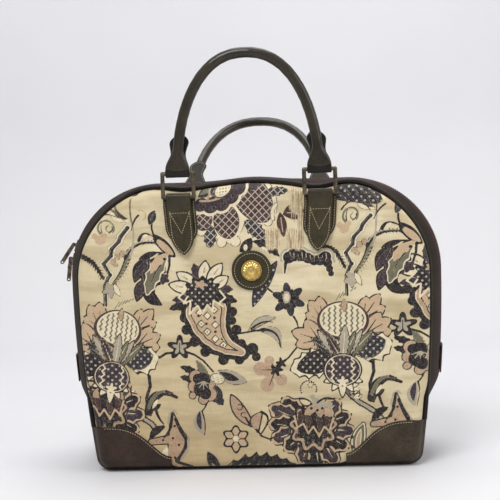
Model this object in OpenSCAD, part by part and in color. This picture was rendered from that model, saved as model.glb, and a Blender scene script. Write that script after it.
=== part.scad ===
// Domed tapestry carpet bag with leather trim, two rolled handles on rings and a zip over the top.
// X is to the right, Y goes from the front to the back, Z is up. The origin is the middle of the base.

/* [Body] */
// Width between the side seams at the widest height
body_w = 428; // [410:1:460]
// Height of the top seam above the floor
body_h = 349; // [335:1:370]
// Radius of the round shoulders
shoulder_r = 112; // [100:1:120]
// Radius of the long curve down each side
side_r = 1600; // [1200:1:2000]
// Radius of the bottom corners of the panels
corner_r = 15; // [14:0.5:20]
// Depth of the gusset between the front and back seams
gusset_d = 140; // [130:1:170]
// How far the middle of the gusset bulges beyond the seams at the sides
side_crown = 20; // [12:1:26]
// How far the middle of the gusset rises above the seams at the top
top_crown = 3; // [2:0.5:8]
// How far the middle of a tapestry panel stands out from its seam
panel_swell = 22; // [18:0.5:28]
// Height of a panel's rolled edge
roll_h = 13; // [10:0.5:15]
// Distance from the seam at which the rolled edge ends
roll_w = 14; // [12:0.5:14]
// Distance from the seam at which the panel is flat
flat_from = 90; // [80:1:100]

/* [Sheets] */
// Thickness of the tapestry with its backing
panel_t = 2.4; // [1.5:0.1:3]
// Thickness of the gusset leather
gusset_t = 2; // [1.2:0.1:3]
// How far the gusset's outer face lies outside the seam line
gusset_out = 0.5; // [0:0.1:1]
// Thickness of the leather base
base_t = 2.5; // [1.5:0.1:2.6]
// Thickness of the board inside the base
board_t = 3; // [2:0.5:5]
// Room between the board and the walls
board_room = 9; // [6:0.5:15]
// Gap left between pieces that are sewn together
seam_gap = 0.2; // [0.1:0.05:0.3]
// Diameter of the piping
piping_d = 6; // [5:0.5:7]

/* [Corner patches] */
// Length of a corner patch along the floor
patch_w = 92; // [70:1:110]
// Height of a corner patch at the side
patch_h = 56; // [45:1:70]
// Thickness of a corner patch
patch_t = 1.8; // [1:0.1:2.5]
// Depth of the flap that a patch turns onto the gusset
patch_return = 18; // [10:1:30]
// Bend of the patch's upper edge, from straight to a late drop
patch_bend = 1.7; // [1:0.1:2.2]

/* [Zip] */
// Height of the two ends of the zip
zip_end_h = 116; // [104:1:135]
// Half of the slot between the two zip gussets
slot_half = 12; // [10:0.5:16]
// How far the tape reaches under the gusset
tape_lap = 5; // [3:0.5:8]
// Thickness of the tape
tape_t = 0.8; // [0.5:0.1:1.2]
// Width across the row of teeth
chain_w = 6; // [5:0.5:7]
// Height of the teeth above their foot
chain_h = 1.7; // [1.4:0.1:2.2]
// Width of the foot that the tapes are woven round
foot_w = 3.2; // [2.6:0.1:3.6]
// Height of that foot
foot_h = 1.8; // [1.6:0.1:2.4]
// Distance between teeth
tooth_pitch = 4; // [3:0.5:8]
// Length of a leather tab over a zip end
end_tab_len = 34; // [24:1:40]
// Width of such a tab
end_tab_w = 46; // [36:1:60]

/* [Sliders] */
// Angle of the upper slider on the left shoulder, from level
upper_at = 20; // [18:0.5:40]
// Angle of the lower slider on the left shoulder, from level
lower_at = 11.2; // [9:0.2:12]
// Length of a slider along the zip
slider_len = 15; // [12:0.5:16]
// Wall of a slider
slider_t = 1.1; // [0.8:0.1:1.4]
// Running clearance round the teeth
slider_play = 0.35; // [0.3:0.05:0.5]
// Diameter of the bar that a pull hangs on
bail_d = 1.7; // [1.4:0.1:2]
// Height of that bar above the slider
bail_h = 3.6; // [3.4:0.1:5]
// Length of a pull from its bar
pull_len = 30; // [24:1:40]
// Width of a pull
pull_w = 5; // [4:0.5:6]
// Thickness of a pull
pull_t = 2; // [1.5:0.1:2.4]
// Lean of the upper pull outward from hanging
upper_pull_lean = 35; // [34:1:60]
// Lean of the lower pull outward from hanging
lower_pull_lean = 7; // [4:1:30]

/* [Tabs and rings] */
// Distance of the tabs from the middle of the bag
tab_x = 85; // [75:1:90]
// Distance of the ring bar below the top seam
ring_drop = 13; // [9:0.5:15]
// Width of a tab's backing
backing_w = 39; // [36:0.5:44]
// Length of a tab's backing below the bar
backing_len = 58; // [50:1:66]
// Thickness of a tab's backing
backing_t = 2; // [1.2:0.1:2.6]
// Width of the strap that holds the ring
strap_w = 29; // [24:0.5:30]
// Length of the strap below the bar
strap_len = 70; // [66:1:80]
// Thickness of the folded strap
strap_t = 4; // [3:0.1:4.6]
// Length of the pointed end of the strap
strap_tip = 26; // [20:1:34]
// Distance below the bar at which the fold is sewn shut
fold_drop = 17; // [12:1:22]
// Diameter of the ring bar
bar_d = 5; // [4:0.1:5.6]
// Clearance round the ring bar
bar_play = 0.3; // [0.2:0.05:0.5]
// Thickness of the leather round the bar
loop_t = 2; // [1.4:0.1:2.6]
// Height of a ring between its bars
ring_h = 28; // [26:0.5:34]
// Inside width of a ring
ring_in_w = 32; // [31:0.5:36]

/* [Handles] */
// Height of a handle's middle line above the ring bar
handle_h = 138; // [125:1:170]
// Diameter of the rolled handle
handle_d = 12.8; // [10:0.1:16]
// Length over which the roll opens into its flat end
flare_len = 40; // [30:1:50]
// Width of a handle's flat end
end_w = 29; // [24:0.5:30]
// Length of the leaf that is turned back and sewn
leaf_len = 47; // [40:1:56]
// Width of that leaf at its round tip
leaf_tip_w = 19.5; // [16:0.5:22]
// Width of that leaf at its waist
leaf_waist_w = 16; // [12:0.5:18]
// Thickness of that leaf
leaf_t = 2; // [1.4:0.1:2.4]
// Lean of the front rings outward
front_ring_lean = 0; // [0:1:30]
// Lean of the front handle outward
front_handle_lean = 0; // [-20:1:40]
// Lean of the back rings outward
back_ring_lean = 76; // [0:1:95]
// Lean of the back handle outward
back_handle_lean = 50; // [0:1:120]

/* [Medallion] */
// Distance of the medallion's middle below the top seam
medallion_drop = 103; // [103:1:125]
// Diameter of the leather disc
medallion_d = 48; // [40:1:52]
// Thickness of the leather disc
medallion_t = 2.4; // [1.6:0.1:3]
// Diameter of the brass button
button_d = 25; // [20:0.5:30]
// Height of the brass button's dome
button_h = 4; // [3:0.1:6]
// Diameter of the button's stem
stem_d = 4; // [3:0.1:6]
// Clearance round the stem
stem_play = 0.3; // [0.2:0.05:0.5]
// Diameter of the washer behind the panel
washer_d = 16; // [12:0.5:20]
// Thickness of the washer
washer_t = 1; // [0.6:0.1:2]

/* [Hidden] */
$fn = 64;

// Seam line: a flat top, round shoulders, long side curves and small bottom corners
floor_gap = 0.3;
piping_r = piping_d / 2;
seam_y = gusset_d / 2;
seam_bottom = piping_r + floor_gap;
half_top = body_w / 2 - shoulder_r;
shoulder_z = body_h - shoulder_r;
side_x = body_w / 2 - side_r;
ring_z = body_h - ring_drop;
medallion_z = body_h - medallion_drop;
side_end = asin((shoulder_z - corner_r - seam_bottom) / (side_r - corner_r));
zip_end = asin((shoulder_z - zip_end_h) / side_r);
patch_end = asin((shoulder_z - patch_h) / side_r);
corner_x = side_x + (side_r - corner_r) * cos(side_end);
corner_z = seam_bottom + corner_r;
top_steps = 4;
shoulder_steps = 10;
side_steps = 3;
fade_steps = 3;
corner_steps = 4;
floor_steps = 3;

// A station is an arc centre, a radius and a direction, so that a point lies at any distance out from the seam
function out(s, o) = [s[0] + (s[2] + o) * cos(s[3]), s[1] + (s[2] + o) * sin(s[3])];
function flip(s) = [-s[0], s[1], s[2], 180 - s[3]];
function ease(t) = let (c = min(1, max(0, t))) c * c * (3 - 2 * c);
function reversed(list) = [for (i = [len(list) - 1 : -1 : 0]) list[i]];
function side_run(a, b, n) = [for (i = [1 : n]) [side_x, shoulder_z, side_r, -a - (b - a) * i / n]];

top_half = [for (i = [0 : top_steps - 1]) [half_top * i / top_steps, body_h, 0, 90]];
shoulder = [for (i = [0 : shoulder_steps]) [half_top, shoulder_z, shoulder_r, 90 - 90 * i / shoulder_steps]];
zip_side = side_run(0, zip_end, side_steps);
patch_side = side_run(zip_end, patch_end, fade_steps);
low_side = side_run(patch_end, side_end, 2);
corner = [for (i = [1 : corner_steps])
    [corner_x, corner_z, corner_r, -side_end - (90 - side_end) * i / corner_steps]];
patch_foot_x = corner_x + corner_r - patch_w;
patch_floor = [for (i = [1 : floor_steps])
    [corner_x - (corner_x - patch_foot_x) * i / floor_steps, seam_bottom, 0, -90]];
mid_floor = [for (i = [1 : floor_steps]) [patch_foot_x * (1 - i / floor_steps), seam_bottom, 0, -90]];

zip_half = concat(top_half, shoulder, zip_side);
patch_run = concat([patch_side[fade_steps - 1]], low_side, corner, patch_floor);
right_half = concat(zip_half, patch_side, low_side, corner, patch_floor, mid_floor);
left_half = [for (i = [len(right_half) - 2 : -1 : 1]) flip(right_half[i])];
seam_loop = concat(right_half, left_half);

function both_sides(half) = concat([for (i = [len(half) - 1 : -1 : 1]) flip(half[i])], half);
zip_run = both_sides(zip_half);
piping_run = both_sides(concat(zip_half, patch_side));
floor_run = both_sides(concat([[0, seam_bottom, 0, -90]], [for (i = [1 : 2])
    [patch_foot_x * i / 2, seam_bottom, 0, -90]]));
gusset_low_half = concat([zip_side[side_steps - 1]], patch_side, low_side, corner);
gusset_low_run = concat(gusset_low_half, [for (s = reversed(gusset_low_half)) flip(s)]);

// The gusset's middle line: the seam line moved out by the crown, which fades above the corner patches
crown_shift = side_crown - top_crown;
mid_half_top = half_top + crown_shift;
mid_r = shoulder_r + top_crown;
mid_side_x = side_x + side_crown;
function crown_fade(z) = ease((z - patch_h) / (zip_end_h - end_tab_len / 3 - patch_h));
function to_middle(s) = s[2] == shoulder_r ? [mid_half_top, shoulder_z, mid_r, s[3]]
    : s[2] == side_r ? [s[0] + side_crown * crown_fade(out(s, 0)[1]), s[1], side_r, s[3]]
    : s[3] == 90 ? [s[0] * mid_half_top / half_top, body_h + top_crown, 0, 90]
    : s;
function middle_of(half) = [for (s = half) to_middle(s)];
zip_mid_run = both_sides(middle_of(zip_half));
gusset_low_mid_half = middle_of(gusset_low_half);
gusset_low_mid_run = concat(gusset_low_mid_half, [for (s = reversed(gusset_low_mid_half)) flip(s)]);

// A panel stands out from the seam plane: a rolled edge, a slope and a flat middle
panel_gap = piping_r + seam_gap;
roll_reach = roll_w - panel_gap;
slope = (panel_swell - roll_h) / (flat_from - roll_w);
seat_tilt = atan(slope);
function arch_inset(x, z) = z < shoulder_z ? side_r - norm([abs(x) - side_x, z - shoulder_z])
    : abs(x) < half_top ? body_h - z
    : shoulder_r - norm([abs(x) - half_top, z - shoulder_z]);
function inset(x, z) = min(arch_inset(x, z), z - seam_bottom);
function swell(d) = d < flat_from ? roll_h + slope * (d - roll_w) : panel_swell;
function panel_y(x, z) = -seam_y - swell(inset(x, z));

// Parts of the panel's grid: angles of the rolled edge, then shares of the way out from the middle
roll_angles = [6, 22, 42, 62, 82];
cap_shares = [0.92, 0.76, 0.5, 0.28];
panel_mid = [0, body_h / 2];
function roll_d(a, t) = roll_w - (roll_reach - t) * cos(a);
function roll_y(a, t) = -seam_y - (roll_h - t) * sin(a);
roll_last = roll_angles[len(roll_angles) - 1];
function cap_point(s, k) = panel_mid + k * (out(s, -roll_d(roll_last, 0)) - panel_mid);
function stand(p, y) = [p[0], y, p[1]];
function panel_ring(j, t) = [for (s = seam_loop) j < len(roll_angles)
    ? stand(out(s, -roll_d(roll_angles[j], t)), roll_y(roll_angles[j], t))
    : let (p = cap_point(s, cap_shares[j - len(roll_angles)])) stand(p, panel_y(p[0], p[1]) + t)];
function ring_faces(n, a, b) = [for (i = [0 : n - 1]) let (k = (i + 1) % n)
    each [[a + i, b + i, b + k], [a + i, b + k, a + k]]];

// The end of a chain of rings: a flat ring, or a folded strip, whose ring is a line out and the same line back
function ring_end(n, at, folded) = folded
    ? [for (i = [0 : n / 2 - 2]) each [[at + i, at + i + 1, at + n - 2 - i], [at + i, at + n - 2 - i, at + n - 1 - i]]]
    : [[for (i = [0 : n - 1]) at + i]];

// Chained rings of points closed at both ends
module loft(rings, folded = false) {
    n = len(rings[0]);
    m = len(rings);
    polyhedron([for (r = rings) each r], concat(
        [for (i = [0 : m - 2]) each ring_faces(n, i * n, (i + 1) * n)],
        ring_end(n, 0, folded),
        [for (f = ring_end(n, (m - 1) * n, folded)) reversed(f)]));
}

// A flat shape in X and Z, carried along Y
module across(y0, y1) {
    translate([0, y1, 0]) rotate([90, 0, 0]) linear_extrude(height = y1 - y0) children();
}

// A strip that follows the seam line between two distances from it
module strip(run, o0, o1) {
    polygon(concat([for (s = run) out(s, o1)], [for (s = reversed(run)) out(s, o0)]));
}

module at_back() { mirror([0, 1, 0]) children(); }

module panel() {
    n = len(seam_loop);
    rings = len(roll_angles) + len(cap_shares);
    outer = [for (j = [0 : rings - 1]) each panel_ring(j, 0)];
    inner = [for (j = [0 : rings - 1]) each panel_ring(j, panel_t)];
    mid_y = panel_y(panel_mid[0], panel_mid[1]);
    points = concat(outer, inner, [stand(panel_mid, mid_y), stand(panel_mid, mid_y + panel_t)]);
    in0 = n * rings;
    mid0 = 2 * n * rings;
    last = n * (rings - 1);
    polyhedron(points, concat(
        [for (j = [0 : rings - 2]) each ring_faces(n, j * n, (j + 1) * n)],
        [for (j = [0 : rings - 2]) each ring_faces(n, in0 + (j + 1) * n, in0 + j * n)],
        ring_faces(n, in0, 0),
        [for (i = [0 : n - 1]) let (k = (i + 1) % n) each [
            [last + i, mid0, last + k], [in0 + last + k, mid0 + 1, in0 + last + i]]]));
}

module front_panel() {
    color("burlywood") difference() {
        panel();
        translate([0, -seam_y, medallion_z]) rotate([90, 0, 0])
            cylinder(d = stem_d + 2 * stem_play, h = 2 * panel_swell);
    }
}

module back_panel() { color("burlywood") at_back() panel(); }

piping_sides = 8;
module piping_tube(run) {
    loft([for (s = run) [for (j = [0 : piping_sides - 1]) let (a = -360 * j / piping_sides)
        stand(out(s, piping_r * cos(a)), -seam_y + piping_r * sin(a))]]);
}

module piping() {
    color("saddlebrown") {
        piping_tube(piping_run);
        piping_tube(reversed(floor_run));
    }
}

module front_piping() { piping(); }
module back_piping() { at_back() piping(); }

// The zip's strips lie side by side across the gusset
gusset_edge = seam_y - piping_r - seam_gap;
gusset_in = gusset_out - gusset_t;
tape_top = gusset_in - seam_gap;
tape_edge = foot_w / 2 + seam_gap;
foot_bottom = tape_top - tape_t;
chain_foot = foot_bottom + foot_h;
chain_top = chain_foot + chain_h;

// A band across the gusset, arched from the seam line to the middle line
function arched(s, m, y, o) = let (k = 1 - pow(y / gusset_edge, 2)) stand(out(s, o) * (1 - k) + out(m, o) * k, y);
module arched_band(run, mid_run, ys, o0, o1) {
    loft([for (i = [0 : len(run) - 1]) concat(
        [for (y = ys) arched(run[i], mid_run[i], y, o1)],
        [for (y = reversed(ys)) arched(run[i], mid_run[i], y, o0)])], folded = true);
}

tape_out = slot_half + tape_lap;
arch_shares = [1, 0.72, 0.45];
module zip_gusset() {
    ys = concat([for (k = arch_shares) -gusset_edge * k], [-tape_out, -slot_half]);
    color("sienna") arched_band(zip_run, zip_mid_run, ys, gusset_in, gusset_out);
}

module zip_gusset_front() { zip_gusset(); }
module zip_gusset_back() { at_back() zip_gusset(); }

module zip_tape() {
    color("dimgray") arched_band(zip_run, zip_mid_run, [-tape_out, -tape_edge], tape_top - tape_t, tape_top);
}

module zip_tape_front() { zip_tape(); }
module zip_tape_back() { at_back() zip_tape(); }

// A point of the middle line by its distance along the line from the middle of the top
shoulder_arc = mid_r * PI / 2;
zip_half_len = mid_half_top + shoulder_arc + side_r * zip_end * PI / 180;
function along(s) = s < mid_half_top ? [s, body_h + top_crown, 0, 90]
    : s < mid_half_top + shoulder_arc
    ? [mid_half_top, shoulder_z, mid_r, 90 - (s - mid_half_top) / mid_r * 180 / PI]
    : [mid_side_x, shoulder_z, side_r, -(s - mid_half_top - shoulder_arc) / side_r * 180 / PI];
tooth_count = floor(zip_half_len / tooth_pitch);
tooth_share = 0.6;
tooth_depth = 0.8;

module zip_chain() {
    starts = [for (i = [0 : tooth_count - 1]) i * tooth_pitch];
    half = [for (s = starts) each [
        out(along(s), chain_top), out(along(s + tooth_pitch * tooth_share / 2), chain_top),
        out(along(s + tooth_pitch * tooth_share / 2), chain_top - tooth_depth),
        out(along(s + tooth_pitch * (1 - tooth_share / 2)), chain_top - tooth_depth),
        out(along(s + tooth_pitch * (1 - tooth_share / 2)), chain_top)]];
    left = [for (i = [len(half) - 1 : -1 : 1]) [-half[i][0], half[i][1]]];
    foot_line = both_sides([for (s = concat(starts, [tooth_count * tooth_pitch])) along(s)]);
    color("goldenrod") {
        across(-chain_w / 2, chain_w / 2) polygon(concat(left, half,
            [for (s = reversed(foot_line)) out(s, chain_foot)]));
        across(-foot_w / 2, foot_w / 2) strip(foot_line, foot_bottom, chain_foot);
    }
}

// A leather tab lies on the gusset across the end of the slot
module zip_end_tab() {
    low = zip_half_len + end_tab_len / 3;
    mid_run = [for (i = [0 : 4]) along(low - end_tab_len * i / 4)];
    run = [for (m = mid_run) [m[0] - side_crown, m[1], m[2], m[3]]];
    lift = max(gusset_out, chain_top) + seam_gap;
    side = end_tab_w / 2;
    ys = [-side, -slot_half, -slot_half / 2, 0, slot_half / 2, slot_half, side];
    color("saddlebrown") arched_band(reversed(run), reversed(mid_run), ys, lift, lift + gusset_t);
}

module zip_end_tab_right() { zip_end_tab(); }
module zip_end_tab_left() { mirror([1, 0, 0]) zip_end_tab(); }

module lower_gusset() {
    ys = concat([for (k = arch_shares) -gusset_edge * k], [for (k = reversed(arch_shares)) gusset_edge * k]);
    color("sienna") arched_band(gusset_low_run, gusset_low_mid_run, ys, gusset_in, gusset_out);
}

// Base and board are flat plates with round corners
module rounded_plate(x, y, r, z0, z1) {
    translate([0, 0, z0]) linear_extrude(height = z1 - z0) union() {
        square([2 * x - 2 * r, 2 * y], center = true);
        square([2 * x, 2 * y - 2 * r], center = true);
        for (i = [-1, 1], j = [-1, 1]) translate([i * (x - r), j * (y - r)]) circle(r = r);
    }
}

plate_corner_r = 10;
gusset_low = seam_bottom - gusset_out;
module base_panel() {
    color("saddlebrown")
        rounded_plate(corner_x, gusset_edge - seam_gap, plate_corner_r, 0, min(base_t, gusset_low - seam_gap));
}

module base_board() {
    z0 = seam_bottom - gusset_in + seam_gap;
    color("tan")
        rounded_plate(corner_x - board_room, gusset_edge - board_room, plate_corner_r, z0, z0 + board_t);
}

// A corner patch runs from its bent upper edge over the rolled edge and round onto the gusset
patch_over = seam_gap + patch_t;
patch_inset = roll_w + 2;
patch_top = out(patch_run[0], -patch_inset);
patch_foot = out(patch_run[len(patch_run) - 1], -patch_inset);
patch_angles = [50, 22];
function patch_edge(t) = [
    patch_top[0] + (patch_foot[0] - patch_top[0]) * t,
    patch_top[1] + (patch_foot[1] - patch_top[1]) * (1 - cos(180 * pow(t, patch_bend))) / 2];
function on_roll(s, a, g) = stand(out(s, -roll_d(a, -g)), roll_y(a, -g));
function patch_face(p, g) = stand(p, panel_y(p[0], p[1]) - g);
function patch_line(s, t, g, f) = let (e = patch_edge(t), r = out(s, -roll_d(roll_last, -g))) concat(
    [patch_face(e, g), patch_face((e + r) / 2, g), on_roll(s, roll_last, g)],
    [for (a = patch_angles) on_roll(s, a, g)],
    [stand(out(s, gusset_out + g), -seam_y), stand(out(s, gusset_out + g), -gusset_edge + f)]);
function patch_flap(s) = patch_return * max(0, cos(s[3]));

module corner_patch() {
    n = len(patch_run) - 1;
    color("saddlebrown") loft([for (i = [0 : n]) let (s = patch_run[i], t = i / n, f = patch_flap(s))
        concat(patch_line(s, t, patch_over, f), reversed(patch_line(s, t, seam_gap, f)))]);
}

module corner_patch_front_right() { corner_patch(); }
module corner_patch_front_left() { mirror([1, 0, 0]) corner_patch(); }
module corner_patch_back_right() { at_back() corner_patch(); }
module corner_patch_back_left() { at_back() mirror([1, 0, 0]) corner_patch(); }

// A tab lies on the slope of its panel, with the ring bar standing off by the thickness of backing and strap
bar_r = bar_d / 2;
bore_r = bar_r + bar_play;
loop_r = bore_r + loop_t;
seat_y = panel_y(0, ring_z);
backing_out = seam_gap + backing_t;
strap_in = backing_out + seam_gap;
bar_out = strap_in + loop_r;
bar_y = seat_y - bar_out * cos(seat_tilt);
bar_z = ring_z + bar_out * sin(seat_tilt);

module on_seat(x) { translate([x, seat_y, ring_z]) rotate([-seat_tilt, 0, 0]) children(); }

// A straight-sided tongue whose lower end is a pointed arch
module tongue(w, top, length, tip) {
    arch_r = (tip * tip + w * w / 4) / w;
    translate([-w / 2, tip - length]) square([w, top + length - tip]);
    translate([0, tip - length]) intersection() {
        translate([arch_r - w / 2, 0]) circle(r = arch_r);
        translate([w / 2 - arch_r, 0]) circle(r = arch_r);
        translate([-w / 2, -tip]) square([w, tip + 1]);
    }
}

backing_tip = 22;
module tab_backing(x) {
    color("sienna") on_seat(x) across(-backing_out, -seam_gap)
        tongue(backing_w, 0, backing_len, backing_tip);
}

module strap_profile() {
    difference() {
        union() {
            translate([-bar_out, 0]) circle(r = loop_r);
            translate([-strap_in - strap_t, -strap_len]) square([strap_t, strap_len]);
            polygon([[-strap_in, 0], [-bar_out - loop_r, 0],
                [-strap_in - strap_t, -fold_drop], [-strap_in, -fold_drop]]);
        }
        translate([-bar_out, 0]) circle(r = bore_r);
    }
}

module tab_strap(x) {
    color("saddlebrown") on_seat(x) intersection() {
        rotate([90, 0, 90]) translate([0, 0, -strap_w / 2]) linear_extrude(height = strap_w)
            strap_profile();
        across(-bar_out - 2 * loop_r, 0) tongue(strap_w, 2 * loop_r, strap_len, strap_tip);
    }
}

module tab_backing_front_left() { tab_backing(-tab_x); }
module tab_backing_front_right() { tab_backing(tab_x); }
module tab_backing_back_left() { at_back() tab_backing(-tab_x); }
module tab_backing_back_right() { at_back() tab_backing(tab_x); }
module tab_strap_front_left() { tab_strap(-tab_x); }
module tab_strap_front_right() { tab_strap(tab_x); }
module tab_strap_back_left() { at_back() tab_strap(-tab_x); }
module tab_strap_back_right() { at_back() tab_strap(tab_x); }

// A ring is four round bars with round corners, turned outward about its lower bar
module rod(a, b) {
    d = b - a;
    translate(a) rotate([0, d[0] == 0 ? 0 : 90, 0]) cylinder(r = bar_r, h = norm(d));
}

module ring(x, lean) {
    side = ring_in_w / 2 + bar_r;
    color("peru") translate([x, bar_y, bar_z]) rotate([lean, 0, 0]) {
        for (z = [0, ring_h]) rod([-side, 0, z], [side, 0, z]);
        for (i = [-side, side]) {
            rod([i, 0, 0], [i, 0, ring_h]);
            for (z = [0, ring_h]) translate([i, 0, z]) sphere(r = bar_r);
        }
    }
}

module ring_front_left() { ring(-tab_x, front_ring_lean); }
module ring_front_right() { ring(tab_x, front_ring_lean); }
module ring_back_left() { at_back() ring(-tab_x, back_ring_lean); }
module ring_back_right() { at_back() ring(tab_x, back_ring_lean); }

// A handle is a rolled half oval whose ends open out flat, fold round the ring bars and are turned back as leaves
handle_steps = 38;
handle_sides = 12;
handle_r = handle_d / 2;
flat_share = 0.62;
flat_r = loop_r * flat_share;
function opened(h) = ease(1 - (h - loop_r) / flare_len);
function handle_ring(a) = let (
    mid = [tab_x * cos(a), handle_h * sin(a)],
    along_x = handle_h * cos(a), along_z = -tab_x * sin(a),
    len = norm([along_x, along_z]),
    side = [along_x / len, -along_z / len],
    f = opened(mid[1]),
    wide = handle_r + (end_w / 2 - handle_r) * f,
    thick = handle_r + (flat_r - handle_r) * f,
    shift = (loop_r - flat_r) * f)
    [for (j = [0 : handle_sides - 1]) let (b = 360 * j / handle_sides, u = wide * cos(b), v = thick * sin(b))
        [mid[0] + u * side[0], v - shift, mid[1] + u * side[1]]];

module leaf() {
    tip_r = leaf_tip_w / 2;
    tip_z = leaf_len - tip_r;
    waist_z = tip_z - tip_r;
    steps = 8;
    half = [for (i = [0 : steps]) let (t = i / steps)
        [end_w / 2 + (leaf_waist_w - end_w) / 2 * ease(t), waist_z * t]];
    union() {
        polygon(concat(half, [[leaf_waist_w / 2, tip_z], [-leaf_waist_w / 2, tip_z]],
            [for (p = reversed(half)) [-p[0], p[1]]]));
        translate([0, tip_z]) circle(r = tip_r);
    }
}

module handle_shape() {
    leaf_lean = asin((handle_r + leaf_t - loop_r) / leaf_len);
    difference() {
        union() {
            loft([for (i = [0 : handle_steps]) handle_ring(180 * i / handle_steps)]);
            for (i = [-1, 1]) translate([i * tab_x, 0, 0]) {
                translate([-end_w / 2, 0, 0]) rotate([0, 90, 0]) cylinder(r = loop_r, h = end_w);
                translate([0, loop_r - leaf_t, 0]) rotate([-leaf_lean, 0, 0]) across(0, leaf_t) leaf();
            }
        }
        for (i = [-1, 1]) translate([i * tab_x - end_w, 0, 0]) rotate([0, 90, 0])
            cylinder(r = bore_r, h = 2 * end_w);
    }
}

module handle(ring_lean, lean) {
    color("darkolivegreen") translate([0, bar_y - ring_h * sin(ring_lean), bar_z + ring_h * cos(ring_lean)])
        rotate([lean, 0, 0]) handle_shape();
}

module front_handle() { handle(front_ring_lean, front_handle_lean); }
module back_handle() { at_back() handle(back_ring_lean, back_handle_lean); }

// The medallion is riveted through the flat middle of the front panel
medallion_y = -seam_y - panel_swell;
module at_medallion(out_by) { translate([0, medallion_y - out_by, medallion_z]) rotate([90, 0, 0]) children(); }

disc_edge = 0.8;
module medallion_patch() {
    r = medallion_d / 2;
    color("saddlebrown") at_medallion(seam_gap) rotate_extrude() polygon([
        [stem_d / 2 + stem_play, 0], [r, 0], [r, medallion_t - disc_edge],
        [r - disc_edge, medallion_t], [stem_d / 2 + stem_play, medallion_t]]);
}

// A domed button: rim, groove, raised ring and boss, on a stem that reaches the washer
button_rim = 1.6;
groove_depth = 0.5;
groove_steps = [2, 5];
dome_steps = 10;
module medallion_button() {
    r = button_d / 2;
    dome_r = (r * r + button_h * button_h) / (2 * button_h);
    function dome(x) = sqrt(dome_r * dome_r - x * x) - dome_r + button_h;
    z0 = 2 * seam_gap + medallion_t;
    back = -panel_t - seam_gap - washer_t;
    color("gold") at_medallion(0) rotate_extrude() polygon(concat(
        [[0, back], [stem_d / 2, back], [stem_d / 2, z0], [r, z0], [r, z0 + button_rim]],
        [for (i = [0 : dome_steps]) let (x = (r - button_rim / 2) * (1 - i / dome_steps))
            [x, z0 + button_rim / 2 + dome(x) - (len(search(i, groove_steps)) > 0 ? groove_depth : 0)]]));
}

module button_washer() {
    color("gold") at_medallion(-panel_t - seam_gap - washer_t) difference() {
        cylinder(d = washer_d, h = washer_t);
        translate([0, 0, -washer_t]) cylinder(d = stem_d + 2 * stem_play, h = 3 * washer_t);
    }
}

// A slider is a bent channel that hooks under the teeth, with a bar across two posts for its pull
slider_in_w = chain_w / 2 + slider_play;
slider_out_w = slider_in_w + slider_t;
slider_roof = chain_top + slider_play;
lip_top = chain_foot - slider_play;
lip_in = foot_w / 2 + slider_play;
lip_bottom = tape_top + slider_play / 2;
bail_r = bail_d / 2;
bail_out = slider_roof + slider_t + bail_h;
post_t = 1;
post_in = pull_t / 2 + slider_play;

module channel_profile() {
    r = mid_r;
    for (i = [0, 1]) mirror([0, i]) polygon([
        [r + slider_roof + slider_t, 0], [r + slider_roof + slider_t, slider_out_w],
        [r + lip_bottom, slider_out_w], [r + lip_bottom, lip_in], [r + lip_top, lip_in],
        [r + lip_top, slider_in_w], [r + slider_roof, slider_in_w], [r + slider_roof, 0]]);
}

module on_left_shoulder(angle) {
    translate([-mid_half_top, 0, shoulder_z]) mirror([1, 0, 0]) rotate([0, -angle, 0]) children();
}

module slider(angle) {
    turn = slider_len / mid_r * 180 / PI;
    post_w = bail_d + 2 * post_t;
    foot = slider_roof + slider_t / 2;
    color("dimgray") on_left_shoulder(angle) union() {
        rotate([90, 0, 0]) rotate([0, 0, -turn / 2]) rotate_extrude(angle = turn) channel_profile();
        translate([mid_r, 0, 0]) {
            for (i = [-1, 1]) translate([0, i * (post_in + post_t / 2), 0]) {
                translate([foot, -post_t / 2, -post_w / 2]) cube([bail_out - foot, post_t, post_w]);
                translate([bail_out, post_t / 2, 0]) rotate([90, 0, 0]) cylinder(d = post_w, h = post_t);
            }
            translate([bail_out, post_in + post_t, 0]) rotate([90, 0, 0])
                cylinder(r = bail_r, h = 2 * (post_in + post_t));
        }
    }
}

module slider_upper() { slider(upper_at); }
module slider_lower() { slider(lower_at); }

// A pull is a flat bar with an eye on the slider's bar and a hole near its tip
pull_hole_d = 2.4;
module pull(angle, lean) {
    reach = mid_r + bail_out;
    eye_r = bail_r + slider_play + post_t;
    color("dimgray") translate([-mid_half_top - reach * cos(angle), 0, shoulder_z + reach * sin(angle)])
        rotate([0, lean, 0]) difference() {
            across(-pull_t / 2, pull_t / 2) union() {
                circle(r = eye_r);
                translate([-eye_r, -pull_len / 3]) square([2 * eye_r, pull_len / 3]);
                translate([-pull_w / 2, pull_w / 2 - pull_len]) square([pull_w, pull_len * 2 / 3]);
                translate([0, pull_w / 2 - pull_len]) circle(d = pull_w);
            }
            translate([0, pull_t, 0]) rotate([90, 0, 0])
                cylinder(r = bail_r + slider_play, h = 2 * pull_t);
            translate([0, pull_t, pull_w / 2 - pull_len]) rotate([90, 0, 0])
                cylinder(d = pull_hole_d, h = 2 * pull_t);
        }
}

module pull_upper() { pull(upper_at, upper_pull_lean); }
module pull_lower() { pull(lower_at, lower_pull_lean); }

front_panel();
back_panel();
front_piping();
back_piping();
zip_gusset_front();
zip_gusset_back();
zip_tape_front();
zip_tape_back();
zip_chain();
zip_end_tab_left();
zip_end_tab_right();
lower_gusset();
base_panel();
base_board();
corner_patch_front_left();
corner_patch_front_right();
corner_patch_back_left();
corner_patch_back_right();
tab_backing_front_left();
tab_backing_front_right();
tab_backing_back_left();
tab_backing_back_right();
tab_strap_front_left();
tab_strap_front_right();
tab_strap_back_left();
tab_strap_back_right();
ring_front_left();
ring_front_right();
ring_back_left();
ring_back_right();
front_handle();
back_handle();
medallion_patch();
medallion_button();
button_washer();
slider_upper();
slider_lower();
pull_upper();
pull_lower();
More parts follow.
